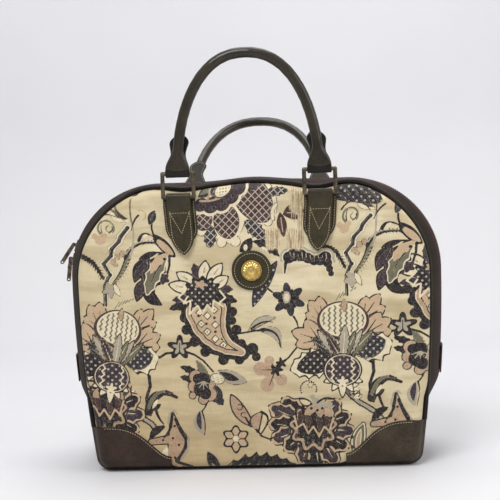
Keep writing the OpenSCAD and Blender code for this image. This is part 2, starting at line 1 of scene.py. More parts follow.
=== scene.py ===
# %% [markdown]
# # A carpet bag in tapestry and leather
# The bag is a domed body of floral tapestry, edged with leather piping, with leather corners, tabs and
# rolled handles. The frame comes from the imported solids. This script dresses it: soft panels with the woven
# flowers, smooth leather, thread, brass and a studio to look at it in.

# %% Load the frame
import math

import bmesh
import bpy
import numpy as np
from mathutils import Matrix, Vector


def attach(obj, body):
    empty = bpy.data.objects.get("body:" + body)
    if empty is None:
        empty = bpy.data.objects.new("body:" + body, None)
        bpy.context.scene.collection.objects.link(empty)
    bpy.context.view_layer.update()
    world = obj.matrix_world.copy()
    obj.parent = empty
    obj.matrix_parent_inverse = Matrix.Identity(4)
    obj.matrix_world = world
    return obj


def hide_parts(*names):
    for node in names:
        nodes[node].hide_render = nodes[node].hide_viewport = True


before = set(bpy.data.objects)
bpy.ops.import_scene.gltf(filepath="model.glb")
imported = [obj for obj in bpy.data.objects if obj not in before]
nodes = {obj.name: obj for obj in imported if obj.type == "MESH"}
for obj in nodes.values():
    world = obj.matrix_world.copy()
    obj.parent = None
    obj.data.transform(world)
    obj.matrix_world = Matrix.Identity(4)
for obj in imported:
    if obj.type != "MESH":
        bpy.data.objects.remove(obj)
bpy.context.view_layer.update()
MM = 0.001
FACES = ((1, "front"), (-1, "back"))
SIDES = ((1, "right"), (-1, "left"))


def add(name, data):
    """A new object in the scene, at the origin."""
    made = bpy.data.objects.new(name, data)
    bpy.context.scene.collection.objects.link(made)
    return made


def cos_sin(degrees):
    a = math.radians(degrees)
    return math.cos(a), math.sin(a)


# %% [markdown]
# ## Camera
# The photograph is taken from a little above, about a metre and a half away, and held slightly askew. The
# camera looks at a point on the front of the bag, and a small roll about its own axis makes up for the tilt.

# %% Camera
TARGET = Vector((-0.0012, -0.09, 0.2704))
AZIMUTH, ELEVATION, ROLL = (math.radians(a) for a in (3.26, 4.0, -1.98))
DISTANCE = 1.468
back = Vector((math.sin(AZIMUTH) * math.cos(ELEVATION), -math.cos(AZIMUTH) * math.cos(ELEVATION),
               math.sin(ELEVATION)))
camera = add("camera", bpy.data.cameras.new("camera"))
camera.data.lens = 88.0
aim = (-back).to_track_quat("-Z", "Y").to_matrix() @ Matrix.Rotation(ROLL, 3, "Z")
camera.matrix_world = Matrix.Translation(TARGET + back * DISTANCE) @ aim.to_4x4()
bpy.context.scene.camera = camera
bpy.context.scene.view_settings.view_transform = "Standard"
print("camera at", [round(v, 3) for v in camera.location])

# %% [markdown]
# ## Shader maths as plain maths
# A material is a tree of nodes. Wrapping a socket in a small class lets sums be written as sums: each operator
# adds the Math node that does it. Colours go through Mix nodes instead, because a Math node turns them grey.

# %% The socket wrapper
def feed(tree, socket, value):
    """Links a wrapped socket to an input, or sets the input to a plain value."""
    if isinstance(value, Wire):
        tree.links.new(value.socket, socket)
    else:
        socket.default_value = value


class Wire:
    """One output socket of a shader tree."""

    def __init__(self, tree, socket):
        self.tree, self.socket = tree, socket

    def node(self, kind, settings=None, inputs=None, out=0):
        """Any node by its type, its settings first and then its sockets."""
        made = self.tree.nodes.new(kind)
        for name, value in (settings or {}).items():
            setattr(made, name, value)
        for name, value in (inputs or {}).items():
            feed(self.tree, made.inputs[name], value)
        return Wire(self.tree, made.outputs[out])

    def math(self, operation, *values):
        return self.node("ShaderNodeMath", {"operation": operation}, dict(enumerate(values)))

    def __add__(self, other): return self.math("ADD", self, other)
    def __radd__(self, other): return self.math("ADD", other, self)
    def __sub__(self, other): return self.math("SUBTRACT", self, other)
    def __rsub__(self, other): return self.math("SUBTRACT", other, self)
    def __mul__(self, other): return self.math("MULTIPLY", self, other)
    def __rmul__(self, other): return self.math("MULTIPLY", other, self)

    def sine(self): return self.math("SINE", self)
    def absolute(self): return self.math("ABSOLUTE", self)

    def ramp(self, low, high):
        """A smooth step from 0 at one value to 1 at another."""
        return self.node("ShaderNodeMapRange", {"interpolation_type": "SMOOTHSTEP"}, {
            "Value": self, "From Min": low, "From Max": high})

    def mix(self, colour_a, colour_b):
        """Colour a where this value is 0 and colour b where it is 1."""
        return self.node("ShaderNodeMix", {"data_type": "RGBA"}, {0: self, 6: colour_a, 7: colour_b}, out=2)

    def noise(self, scale, detail=2.0, rough=0.5, stretch=None):
        """Cloudy noise on this vector, from 0 to 1."""
        vector = self
        if stretch:
            vector = self.node("ShaderNodeVectorMath", {"operation": "MULTIPLY"}, {0: self, 1: stretch})
        return self.node("ShaderNodeTexNoise", None, {
            "Vector": vector, "Scale": scale, "Detail": detail, "Roughness": rough})

    def axes(self):
        """The three coordinates of this vector."""
        parts = self.node("ShaderNodeSeparateXYZ", None, {0: self}).socket.node
        return [Wire(self.tree, socket) for socket in parts.outputs]


def new_material(name):
    """An empty principled material, its object coordinates and a function that sets its shader's sockets."""
    material = bpy.data.materials.new(name)
    material.use_nodes = True
    tree = material.node_tree
    shader = tree.nodes["Principled BSDF"]
    place = Wire(tree, tree.nodes.new("ShaderNodeTexCoord").outputs["Object"])

    def finish(**sockets):
        for socket, value in sockets.items():
            feed(tree, shader.inputs[socket.replace("_", " ")], value)
        return material

    return place, finish


def bump(height, distance):
    """The normal of a surface raised by height times a distance in metres."""
    return height.node("ShaderNodeBump", None, {"Height": height, "Distance": distance, "Strength": 1.0})


def rgb(*values):
    """A colour as it looks on screen, 0 to 255, turned into the linear value that a shader takes."""
    linear = [(v / 255 / 12.92) if v <= 10 else ((v / 255 + 0.055) / 1.055) ** 2.4 for v in values]
    return (*linear, 1.0)


# %% [markdown]
# ## Leather
# The trim is dark brown cowhide with an olive cast, worn lighter where it is handled. Fine grain is a cell
# pattern in the bump. Clouds of two scales carry the colour from dark to light and vary the gloss.

# %% Leather finishes
GRAIN_DEPTH, GUSSET_SEAM_Y = 0.00018, 0.043


def worn(place):
    """Clouds and specks, and the tone between dark and light that they make."""
    clouds, specks = place.noise(26.0, 4.0, 0.6), place.noise(310.0, 3.0, 0.6)
    return clouds, specks, (clouds * 0.65 + specks * 0.35).ramp(0.3, 0.72)


def leather(name, dark, light, gloss=0.42, grain=620.0, coat=0.08):
    place, finish = new_material(name)
    clouds, specks, tone = worn(place)
    cells = place.node("ShaderNodeTexVoronoi", {"feature": "DISTANCE_TO_EDGE"}, {"Vector": place, "Scale": grain})
    creases = place.noise(75.0, 5.0, 0.65)
    height = cells.ramp(0.0, 0.12) * 0.55 + creases * 0.45
    return finish(Base_Color=tone.mix(dark, light), Roughness=gloss + 0.22 * specks - 0.08 * clouds,
                  Normal=bump(height, GRAIN_DEPTH), Specular_IOR_Level=0.2, Coat_Weight=coat, Coat_Roughness=0.16)


trim_leather = leather("trim leather", rgb(32, 29, 19), rgb(60, 54, 37))
corner_leather = leather("corner leather", rgb(40, 29, 24), rgb(70, 53, 44))
olive_leather = leather("olive leather", rgb(37, 33, 19), rgb(66, 59, 38), gloss=0.36, coat=0.2)
patch_leather = leather("right patch leather", rgb(46, 38, 28), rgb(78, 67, 52))
handle_leather = leather("handle leather", rgb(29, 25, 16), rgb(56, 49, 34), gloss=0.26, coat=0.5)
piping_leather = leather("piping leather", rgb(20, 15, 10), rgb(42, 34, 25), grain=900.0, coat=0.1)
dark_leather = leather("dark leather", rgb(20, 17, 13), rgb(38, 33, 25), gloss=0.36)


def gusset(name):
    """Leather in two colours: olive beside the piping and red-brown beside the zip, with a dark seam between."""
    place, finish = new_material(name)
    across = place.axes()[1].absolute()
    clouds, specks, tone = worn(place)
    red, olive = tone.mix(rgb(36, 18, 13), rgb(62, 34, 27)), tone.mix(rgb(30, 24, 15), rgb(53, 44, 30))
    seam = ((across - GUSSET_SEAM_Y) * 1400.0).absolute().ramp(0.6, 2.0)
    colour = seam.mix(rgb(22, 16, 13), across.ramp(GUSSET_SEAM_Y - 0.0005, GUSSET_SEAM_Y + 0.0005).mix(red, olive))
    return finish(Base_Color=colour, Roughness=0.5 + 0.2 * specks, Normal=bump(seam * 0.6 + specks * 0.4, 0.0003),
                  Specular_IOR_Level=0.1)


gusset_leather = gusset("gusset leather")
print("leathers made")


# %% [markdown]
# ## Metal, thread and tape
# The rings are aged brown brass, the button is polished yellow brass, and the zip has dark teeth. Aged metal is
# a polished and a tarnished colour that share a noise mask. Thread is a pale twist, and the zip tape a dark rib.

# %% Metals, thread, tape and board
def metal(name, polished, tarnished, gloss, patches=60.0):
    place, finish = new_material(name)
    age = place.noise(patches, 5.0, 0.65).ramp(0.38, 0.66)
    scratches = place.noise(900.0, 2.0, 0.5)
    return finish(Base_Color=age.mix(polished, tarnished), Metallic=0.95 - 0.25 * age,
                  Roughness=gloss + 0.25 * age + 0.06 * scratches, Normal=bump(scratches, 0.00004))


ring_metal = metal("ring metal", rgb(124, 112, 94), rgb(63, 55, 45), 0.3)
button_brass = metal("button brass", rgb(226, 196, 120), rgb(172, 138, 72), 0.22, 160.0)
zip_metal = metal("zip metal", rgb(120, 106, 84), rgb(60, 50, 40), 0.34, 200.0)


def thread(name, pale, deep):
    place, finish = new_material(name)
    fuzz = place.noise(900.0, 3.0, 0.6)
    return finish(Base_Color=fuzz.ramp(0.3, 0.7).mix(deep, pale), Roughness=0.85, Normal=bump(fuzz, 0.0002))


cream_thread = thread("cream thread", rgb(206, 192, 158), rgb(146, 130, 100))
frayed_thread = thread("frayed thread", rgb(228, 216, 188), rgb(190, 170, 134))
tan_thread = thread("tan thread", rgb(202, 180, 140), rgb(150, 122, 86))


def ribbed(name, dark, light, pitch):
    place, finish = new_material(name)
    ribs = (place.axes()[1] * (2 * math.pi / pitch)).sine() * 0.5 + 0.5
    fuzz = place.noise(700.0, 3.0, 0.6)
    return finish(Base_Color=(ribs * 0.6 + fuzz * 0.4).mix(dark, light), Roughness=0.8,
                  Normal=bump(ribs * 0.7 + fuzz * 0.3, 0.0003))


tape_cloth = ribbed("tape cloth", rgb(30, 22, 18), rgb(66, 50, 40), 0.0016)
board = ribbed("base board", rgb(120, 100, 76), rgb(160, 138, 108), 0.009)
print("metals, thread, tape and board made")

# %% [markdown]
# ## The seam line
# Every piece of the body follows one line: a flat top, round shoulders, a long curve down each side and small
# bottom corners. The sizes are those of the solids, in millimetres. A real bag is soft, so its top has risen a
# little in the middle and sunk at the tabs, where the handles pull and push it.

# %% Seam line
HALF_TOP, TOP_Z, SHOULDER_R, SHOULDER_Z = 102.0, 349.0, 112.0, 237.0
SIDE_R, SIDE_X = 1600.0, 214.0 - 1600.0
CORNER_R, FLOOR_Z, SEAM_Y = 15.0, 3.3, 70.0
GUSSET_EDGE, SIDE_CROWN, TOP_CROWN = 66.8, 20.0, 3.0
PATCH_H, ZIP_END_H, END_TAB = 56.0, 116.0, 34.0
CORNER_Z = FLOOR_Z + CORNER_R
SIDE_END = math.asin((SHOULDER_Z - CORNER_Z) / (SIDE_R - CORNER_R))
CORNER_X = SIDE_X + (SIDE_R - CORNER_R) * math.cos(SIDE_END)
RUN = np.cumsum([HALF_TOP, SHOULDER_R * math.pi / 2, SIDE_R * SIDE_END, CORNER_R * (math.pi / 2 - SIDE_END),
                 CORNER_X])


def step(low, high, value):
    t = np.clip((value - low) / (high - low), 0, 1)
    return t * t * (3 - 2 * t)


def bell(value, middle, width):
    return np.exp(-((value - middle) / width) ** 2)


def rim(s, out=0.0, crown=0.0):
    """Point x, z at a distance s along the seam line from the middle of the top, moved out from it.
    A crown of 1 is the middle of the gusset, which bulges at the sides."""
    t, crown = np.broadcast_arrays(np.abs(np.asarray(s, float)), crown)
    where = [t < RUN[0], t < RUN[1], t < RUN[2], t < RUN[3]]
    angle = np.select(where, [t * 0 + math.pi / 2, math.pi / 2 - (t - RUN[0]) / SHOULDER_R, (RUN[1] - t) / SIDE_R,
                              -SIDE_END - (t - RUN[2]) / CORNER_R], -math.pi / 2)
    fade = step(PATCH_H, ZIP_END_H - END_TAB / 3, SHOULDER_Z + SIDE_R * np.sin(angle))
    shift = (SIDE_CROWN - TOP_CROWN) * crown
    x = np.select(where, [t * (1 + shift / HALF_TOP), HALF_TOP + shift, SIDE_X + SIDE_CROWN * fade * crown,
                          t * 0 + CORNER_X], CORNER_X - (t - RUN[3]))
    z = np.select(where, [TOP_Z + TOP_CROWN * crown, t * 0 + SHOULDER_Z, t * 0 + SHOULDER_Z, t * 0 + CORNER_Z],
                  FLOOR_Z)
    r = np.select(where, [t * 0, SHOULDER_R + TOP_CROWN * crown, t * 0 + SIDE_R, t * 0 + CORNER_R], 0.0) + out
    x = x + r * np.cos(angle)
    return np.where(np.asarray(s) < 0, -x, x), z + r * np.sin(angle)


def arch(y):
    """How much of the gusset's crown there is at a place across it."""
    return np.maximum(0.0, 1 - (y / GUSSET_EDGE) ** 2)


def run_to(height):
    """Distance along the seam line to a height on the side."""
    return RUN[1] + SIDE_R * math.asin((SHOULDER_Z - height) / SIDE_R)


def slump(x, z, y=SEAM_Y):
    """How far the soft top has risen or sunk. The zip, along the middle, is stiff and stays level at the tabs."""
    ax = np.abs(x)
    wave = 2.5 * bell(ax, 136.0, 26.0) - (4.6 + 0.012 * x) * bell(ax, 80.0, 25.0)
    return step(210.0, TOP_Z, z) * (4.5 * bell(x, 0.0, 38.0) + wave * step(20.0, 58.0, np.abs(y)))


print("seam line", round(2 * RUN[-1]), "mm round")


# %% [markdown]
# ## Mesh helpers
# Most pieces are rows of points joined by quads: a grid, or a tube closed round its rings. Points are worked out
# with numpy in millimetres and become metres when the mesh is made.

# %% Mesh helpers
def piece(name, points, faces, material, body="bag", nodes_replaced=(), slot=None, sharp=0.7):
    """A mesh object in the frame, riding on a body and standing for the nodes that it replaces."""
    mesh = bpy.data.meshes.new(name)
    mesh.from_pydata((np.asarray(points, float) * MM).tolist(), [], [list(f) for f in faces])
    mesh.validate()
    mesh.shade_smooth()
    if sharp:
        mesh.set_sharp_from_angle(angle=sharp)
    mesh.materials.append(material)
    made = add(name, mesh)
    settle(made, body, nodes_replaced)
    return made


def settle(made, body, nodes_replaced):
    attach(made, body)
    if nodes_replaced:
        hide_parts(*nodes_replaced)


def grid_faces(rows, columns, ring=False, turn=False):
    """Quads of a grid, or of rows that close on themselves."""
    first, across = np.arange(rows - 1)[:, None] * columns, np.arange(columns if ring else columns - 1)[None, :]
    a, b = first + across, first + (across + 1) % columns
    quads = np.stack([a, b, b + columns, a + columns], -1).reshape(-1, 4)
    return (quads[:, ::-1] if turn else quads).tolist()


def face_out(made):
    """Turns every face outwards, as on a closed solid."""
    work = bmesh.new()
    work.from_mesh(made.data)
    bmesh.ops.recalc_face_normals(work, faces=work.faces)
    work.to_mesh(made.data)
    work.free()
    return made


def tube_faces(rings, sides):
    """Faces of a tube with flat ends."""
    ends = [list(range(sides))[::-1], list(range((rings - 1) * sides, rings * sides))]
    return grid_faces(rings, sides, ring=True) + ends


def tube(name, rings, material, **more):
    """Rings of points joined into a tube with flat ends."""
    rings = np.asarray(rings, float)
    return face_out(piece(name, rings.reshape(-1, 3), tube_faces(*rings.shape[:2]), material, **more))


def mirrored(points, side):
    """Points turned to the back of the bag where side is -1."""
    return points * np.array([1.0, side, 1.0])


# %% [markdown]
# ## Piping and gusset
# Leather piping runs round both seams, and the gusset between them is two strips beside the zip and one strip
# round the bottom. Each is one cross-section carried along the seam line.

# %% Piping, gusset strips and zip tapes
PIPING_R, PATCH_W, STRIP = 3.0, 92.0, (-1.5, 0.5, 0.7)
STRIP_FROM, TAPE_FROM, TAPE_TO, END_TAB_HALF = 12.0, 1.8, 17.0, 23.0
ZIP_END, PATCH_END = run_to(ZIP_END_H), run_to(PATCH_H)
PATCH_FLOOR_X = CORNER_X + CORNER_R - PATCH_W


def circle(r, sides=12):
    a = np.arange(sides) * 2 * math.pi / sides
    return np.stack([r * np.sin(a), r * np.cos(a)], -1)


def flat_profile(y0, y1, o0, o1, edge, steps=9):
    """A flat strip's section, y across and o outward, with rounded edges."""
    def bend(y, o, start):
        a = np.radians(start + np.array([0, 30, 60, 90]))
        return np.stack([y + edge * np.cos(a), o + edge * np.sin(a)], -1)

    inner = np.linspace(y0 + edge, y1 - edge, steps)[1:-1]
    low, top = (np.stack([inner, 0 * inner + o], -1) for o in (o0, o1))
    return np.concatenate([bend(y0 + edge, o0 + edge, 180), low, bend(y1 - edge, o0 + edge, 270),
                           bend(y1 - edge, o1 - edge, 0), top[::-1], bend(y0 + edge, o1 - edge, 90)])


def band(name, s0, s1, section, material, pitch=3.0, **more):
    """A section of (y, o) points carried along the seam line."""
    s = np.linspace(s0, s1, int((s1 - s0) / pitch) + 2)[:, None]
    x, z = rim(s, section[None, :, 1], arch(section[None, :, 0]))
    y = np.broadcast_to(section[None, :, 0], x.shape)
    points = np.stack([x, y, z + slump(x, z, y)], -1)
    return tube(name, points, material, **more)


for side, word in FACES:
    ring = circle(PIPING_R) - [SEAM_Y * side, 0]
    band(f"{word}_piping_arch", -PATCH_END, PATCH_END, ring, piping_leather,
         nodes_replaced=[f"{word}_piping"], slot="trim_leather")
    floor_x = np.linspace(-PATCH_FLOOR_X, PATCH_FLOOR_X, 40)[:, None]
    points = np.stack(np.broadcast_arrays(floor_x, ring[None, :, 0], FLOOR_Z + ring[None, :, 1]), -1)
    tube(f"{word}_piping_floor", points, piping_leather, slot="trim_leather")
    y0, y1 = sorted((-STRIP_FROM * side, -GUSSET_EDGE * side))
    band(f"{word}_gusset_strip", -ZIP_END, ZIP_END, flat_profile(y0, y1, *STRIP), gusset_leather,
         nodes_replaced=[f"zip_gusset_{word}"], slot="gusset_leather")
    y0, y1 = sorted((-TAPE_FROM * side, -TAPE_TO * side))
    band(f"{word}_zip_tape", -ZIP_END, ZIP_END, flat_profile(y0, y1, -2.5, -1.7, 0.3), tape_cloth,
         nodes_replaced=[f"zip_tape_{word}"], slot="zip_tape")
down, whole = np.linspace(ZIP_END, RUN[3], 60), 2 * RUN[4]
s_low = np.concatenate([down, np.linspace(RUN[3] + 4, whole - RUN[3] - 4, 60), whole - down[::-1]])
low_section = flat_profile(-GUSSET_EDGE, GUSSET_EDGE, *STRIP, 19)
x, z = rim(np.where(s_low > RUN[4], s_low - whole, s_low)[:, None], low_section[None, :, 1],
           arch(low_section[None, :, 0]))
tube("bottom_gusset_strip", np.stack([x, np.broadcast_to(low_section[None, :, 0], x.shape), z], -1), gusset_leather,
     nodes_replaced=["lower_gusset"], slot="gusset_leather")
for sign, word in SIDES:
    low = ZIP_END + END_TAB / 3
    section = flat_profile(-END_TAB_HALF, END_TAB_HALF, 1.2, 3.2, 0.9)
    band(f"zip_end_tab_{word}_leather", *sorted((sign * low, sign * (low - END_TAB))), section, trim_leather,
         pitch=1.5, nodes_replaced=[f"zip_end_tab_{word}"], slot="trim_leather")
print("piping, gusset and tapes made")

# %% [markdown]
# ## Tapestry panels
# Each panel is a padded sheet: it rolls over from the piping, slopes up and is flat in the middle, with slack
# folds. It is a grid of points fine enough to carry the woven pattern.

# %% Panel surface
ROLL_W, ROLL_H, ROLL_REACH, FLAT_FROM, SWELL = 14.0, 13.0, 10.8, 90.0, 22.0
MEDALLION_Z, SIDE_HANG, FLOOR_HANG, FOLD_OVER = 246.0, 4.6, 3.4, 2.0
PANEL_GAP = ROLL_W - ROLL_REACH
SLOPE = (SWELL - ROLL_H) / (FLAT_FROM - ROLL_W)


def inset(x, z):
    """Distance of a point inside the seam line."""
    ax = np.abs(x)
    side = SIDE_R - np.hypot(ax - SIDE_X, z - SHOULDER_Z)
    top = np.where(ax < HALF_TOP, TOP_Z - z, SHOULDER_R - np.hypot(ax - HALF_TOP, z - SHOULDER_Z))
    d = np.minimum(np.where(z < SHOULDER_Z, side, top), z - FLOOR_Z)
    corner = CORNER_R - np.hypot(np.maximum(ax - CORNER_X, 0), np.maximum(CORNER_Z - z, 0))
    return np.where((ax > CORNER_X) & (z < CORNER_Z), np.minimum(d, corner), d)


def stand_out(d):
    """How far the plain panel stands out from the seam plane at a distance inside the seam line."""
    roll = ROLL_H * np.sqrt(np.maximum(0, 1 - np.clip((ROLL_W - d) / ROLL_REACH, 0, 1) ** 2))
    slope = ROLL_H + SLOPE * (np.minimum(d, FLAT_FROM) - ROLL_W)
    return np.where(d < ROLL_W, roll, slope)


def half_width(z, d):
    """Half the width of the panel at a height, d inside the seam line."""
    shoulder = HALF_TOP + np.sqrt(np.maximum(0, (SHOULDER_R - d) ** 2 - (z - SHOULDER_Z) ** 2))
    side = SIDE_X + np.sqrt((SIDE_R - d) ** 2 - (z - SHOULDER_Z) ** 2)
    corner = CORNER_X + np.sqrt(np.maximum(0, (CORNER_R - d) ** 2 - np.maximum(CORNER_Z - z, 0) ** 2))
    return np.where(z > SHOULDER_Z, shoulder, np.where(z < CORNER_Z, corner, side))


def keep_clear(x, z):
    """0 under the tabs, the medallion and the corner patches, and 1 elsewhere, so that folds stay off them."""
    tab = np.maximum(np.abs(np.abs(x) - 83.0) - 23.0, np.abs(z - 303.0) - 40.0)
    disc = np.hypot(x, z - MEDALLION_Z) - 25.0
    patch = np.minimum(z - 58.0, 0) * -1.0 - np.maximum(206.0 - np.abs(x), 0) * 0.55
    return step(0.0, 16.0, np.minimum(tab, disc)) * step(2.0, -16.0, patch)


def folds(x, z):
    """Slack of the cloth in mm: a low belly, dents between the sewn pieces and long soft waves."""
    ax = np.abs(x)
    belly = 3.2 * bell(x, 0.0, 150.0) * bell(z, 120.0, 70.0)
    dents = -3.0 * bell(ax, 40.0, 22.0) * bell(z, 310.0, 38.0) - 2.4 * bell(ax, 150.0, 24.0) * bell(z, 250.0, 70.0)
    waves = 1.2 * np.sin(x / 31.0 + 0.6 * np.sin(z / 47.0)) * np.cos(z / 58.0 + 0.4)
    waves = waves + 0.5 * np.sin((x * 0.6 + z) / 19.0)
    waves = waves + 0.85 * np.sin((z + 0.16 * x) / 5.2 + 1.6 * np.sin(x / 26.0)) * np.sin(x / 37.0 + z / 61.0) ** 2
    fade = step(8.0, 40.0, inset(x, z))
    return (belly + dents + waves - 0.8) * fade * keep_clear(x, z) + 0.12 * (keep_clear(x, z) - 1)


EDGE_BAND = 11.5
EDGE = np.array([0, 0.06, 0.25, 0.6, 1.1, 1.8, 2.7, 3.8, 5.1, 6.6, 8.3, 10.2])


def panel_grid(pitch):
    """x and z of the panel's points, closer together on the rolled edge."""
    low, high = FLOOR_Z + PANEL_GAP, TOP_Z - PANEL_GAP
    middle = np.linspace(low + EDGE_BAND, high - EDGE_BAND, int((high - low - 2 * EDGE_BAND) / pitch))
    rows = np.concatenate([low + EDGE, middle, high - EDGE[::-1]])
    width = half_width(rows, PANEL_GAP)
    inner = np.linspace(-1, 1, int(430.0 / pitch))
    x = np.concatenate([-width[:, None] + EDGE, (width[:, None] - EDGE_BAND) * inner, width[:, None] - EDGE[::-1]],
                       1)
    return x, np.broadcast_to(rows[:, None], x.shape)


PITCH = 1.3
px, pz = panel_grid(PITCH)
print("panel grid", px.shape)

# %% [markdown]
# ## The woven flowers
# The cloth is a traditional crewel floral: curling stems, lobed leaves, seeded fruit and full flowers in a few
# yarns on a cream ground. Each yarn has a field of distances that is positive inside its shapes. Weaving a shape
# adds it to its own yarn and cuts it out of the others, so the material finds a crisp edge at any zoom.

# %% Loom and shapes
YARNS = {
    "ink": rgb(36, 31, 34), "navy": rgb(46, 45, 52), "plum": rgb(59, 48, 56), "maroon": rgb(71, 49, 48),
    "rose": rgb(178, 144, 120), "peach": rgb(200, 173, 140), "sage": rgb(110, 107, 86), "mist": rgb(156, 149, 138),
    "pale": rgb(228, 215, 183)}
LIGHT_YARNS = ("rose", "peach", "pale")
NETS = ("crosses", "seeds")


class Loom:
    """Pattern coordinates u, v of a cloth, and a field for each yarn and for each net of fine thread on top."""

    def __init__(self, u, v, yarn=None):
        self.u, self.v = u, v
        self.yarn = yarn or {name: np.full(u.shape, -8.0) for name in (*YARNS, *NETS)}

    def part(self, box, shift=(0.0, 0.0), turn=0.0, squeeze=1.0):
        """The cloth near a box of the pattern, moved, turned clockwise and squeezed about the box's middle."""
        cx, cy = (box[0] + box[2]) / 2, (box[1] + box[3]) / 2
        c, s = cos_sin(turn)
        du, dv = (self.u - cx - shift[0]) / squeeze, self.v - cy - shift[1]
        u, v = cx + du * c + dv * s, cy + dv * c - du * s
        near = (u > box[0]) & (u < box[2]) & (v > box[1]) & (v < box[3])
        rows, columns = np.flatnonzero(near.any(1)), np.flatnonzero(near.any(0))
        window = np.s_[rows[0]:rows[-1] + 1, columns[0]:columns[-1] + 1] if len(rows) else np.s_[:1, :1]
        return Loom(u[window], v[window], {name: field[window] for name, field in self.yarn.items()})

    def weave(self, name, *shapes, net=None):
        """Adds shapes in one yarn, and a net of fine thread over them if wanted."""
        shape = np.maximum.reduce(shapes)
        for other, field in self.yarn.items():
            if other in (name, net):
                np.maximum(field, shape - (0.8 if other == net else 0.0), out=field)
            else:
                np.minimum(field, -shape, out=field)

    def edged(self, name, shape, line="ink", width=1.2, net=None):
        """A shape with an outline in another yarn."""
        self.weave(line, shape + width)
        self.weave(name, shape, net=net)

    def disc(self, x, y, r):
        return r - np.hypot(self.u - x, self.v - y)

    def blob(self, *discs):
        """Several discs joined, each x, y and radius."""
        return np.maximum.reduce([self.disc(*d) for d in discs])

    def oval(self, x, y, a, b, turn=0.0):
        c, s = cos_sin(turn)
        du, dv = self.u - x, self.v - y
        return (1 - np.hypot((du * c + dv * s) / a, (dv * c - du * s) / b)) * min(a, b)

    def petals(self, x, y, r, count, depth=0.35, turn=0.0, squeeze=1.0):
        du, dv = self.u - x, (self.v - y) / squeeze
        a = np.arctan2(dv, du) - math.radians(turn)
        return r * (1 - depth * (0.5 - 0.5 * np.cos(count * a))) - np.hypot(du, dv)

    def leaf(self, x0, y0, x1, y1, width, bend=0.0, full=0.8, teeth=0.0):
        """A pointed leaf from its stalk to its tip, bent by a share of its length, with toothed edges if wanted."""
        long = math.hypot(x1 - x0, y1 - y0)
        ax, ay = (x1 - x0) / long, (y1 - y0) / long
        du, dv = self.u - x0, self.v - y0
        t = (du * ax + dv * ay) / long
        inner = np.clip(t, 0, 1)
        across = dv * ax - du * ay - bend * long * 4 * inner * (1 - inner)
        half = width / 2 * np.sin(math.pi * inner) ** full
        if teeth:
            half = half * (1 - 0.28 * np.abs(np.sin(math.pi * (inner * long - 0.5 * np.abs(across)) / teeth)))
        return half - np.hypot(across, np.maximum(np.abs(t - 0.5) - 0.5, 0) * long)

    def stroke(self, points, start, end=None):
        """A line through points whose width goes from start to end."""
        end = start if end is None else end
        best = np.full(self.u.shape, -99.0)
        count = len(points) - 1
        for i, ((x0, y0), (x1, y1)) in enumerate(zip(points[:-1], points[1:])):
            dx, dy = x1 - x0, y1 - y0
            t = np.clip(((self.u - x0) * dx + (self.v - y0) * dy) / max(dx * dx + dy * dy, 1e-6), 0, 1)
            half = (start + (end - start) * (i + t) / count) / 2
            np.maximum(best, half - np.hypot(self.u - x0 - t * dx, self.v - y0 - t * dy), out=best)
        return best

    def zigzag(self, pitch, width, long):
        """Upright zigzag stripes."""
        w = (self.u + np.abs((self.v / long) % 1 - 0.5) * long * 0.8) / pitch
        return width / 2 - np.abs(w - np.round(w)) * pitch

    def dots(self, points, r):
        return self.blob(*[(x, y, r) for x, y in points])

    def ticks(self, points, long, lean):
        """Short strokes that lean off a line, on both sides."""
        marks = []
        for (x0, y0), (x1, y1) in zip(points[:-1], points[1:]):
            a = math.atan2(y1 - y0, x1 - x0)
            for side in (1, -1):
                b = a + side * math.radians(lean)
                marks.append(self.stroke([(x0, y0), (x0 + long * math.cos(b), y0 + long * math.sin(b))], 1.3, 0.6))
        return np.maximum.reduce(marks)


def curve(x0, y0, x1, y1, x2, y2, count=10):
    """Points of a bow from one end to the other, pulled towards a middle point."""
    t = np.linspace(0, 1, count)[:, None]
    p = [np.array(q, float) for q in ((x0, y0), (x1, y1), (x2, y2))]
    return [tuple(q) for q in (1 - t) ** 2 * p[0] + 2 * t * (1 - t) * p[1] + t ** 2 * p[2]]


def bow(x, y, r, count, start, end):
    """Points on part of a circle, between two angles."""
    a = np.radians(np.linspace(start, end, count))
    return list(zip(x + r * np.cos(a), y + r * np.sin(a)))


def between(a, b, share):
    """The point that lies a share of the way from a to b."""
    return tuple((1 - share) * p + share * q for p, q in zip(a, b))


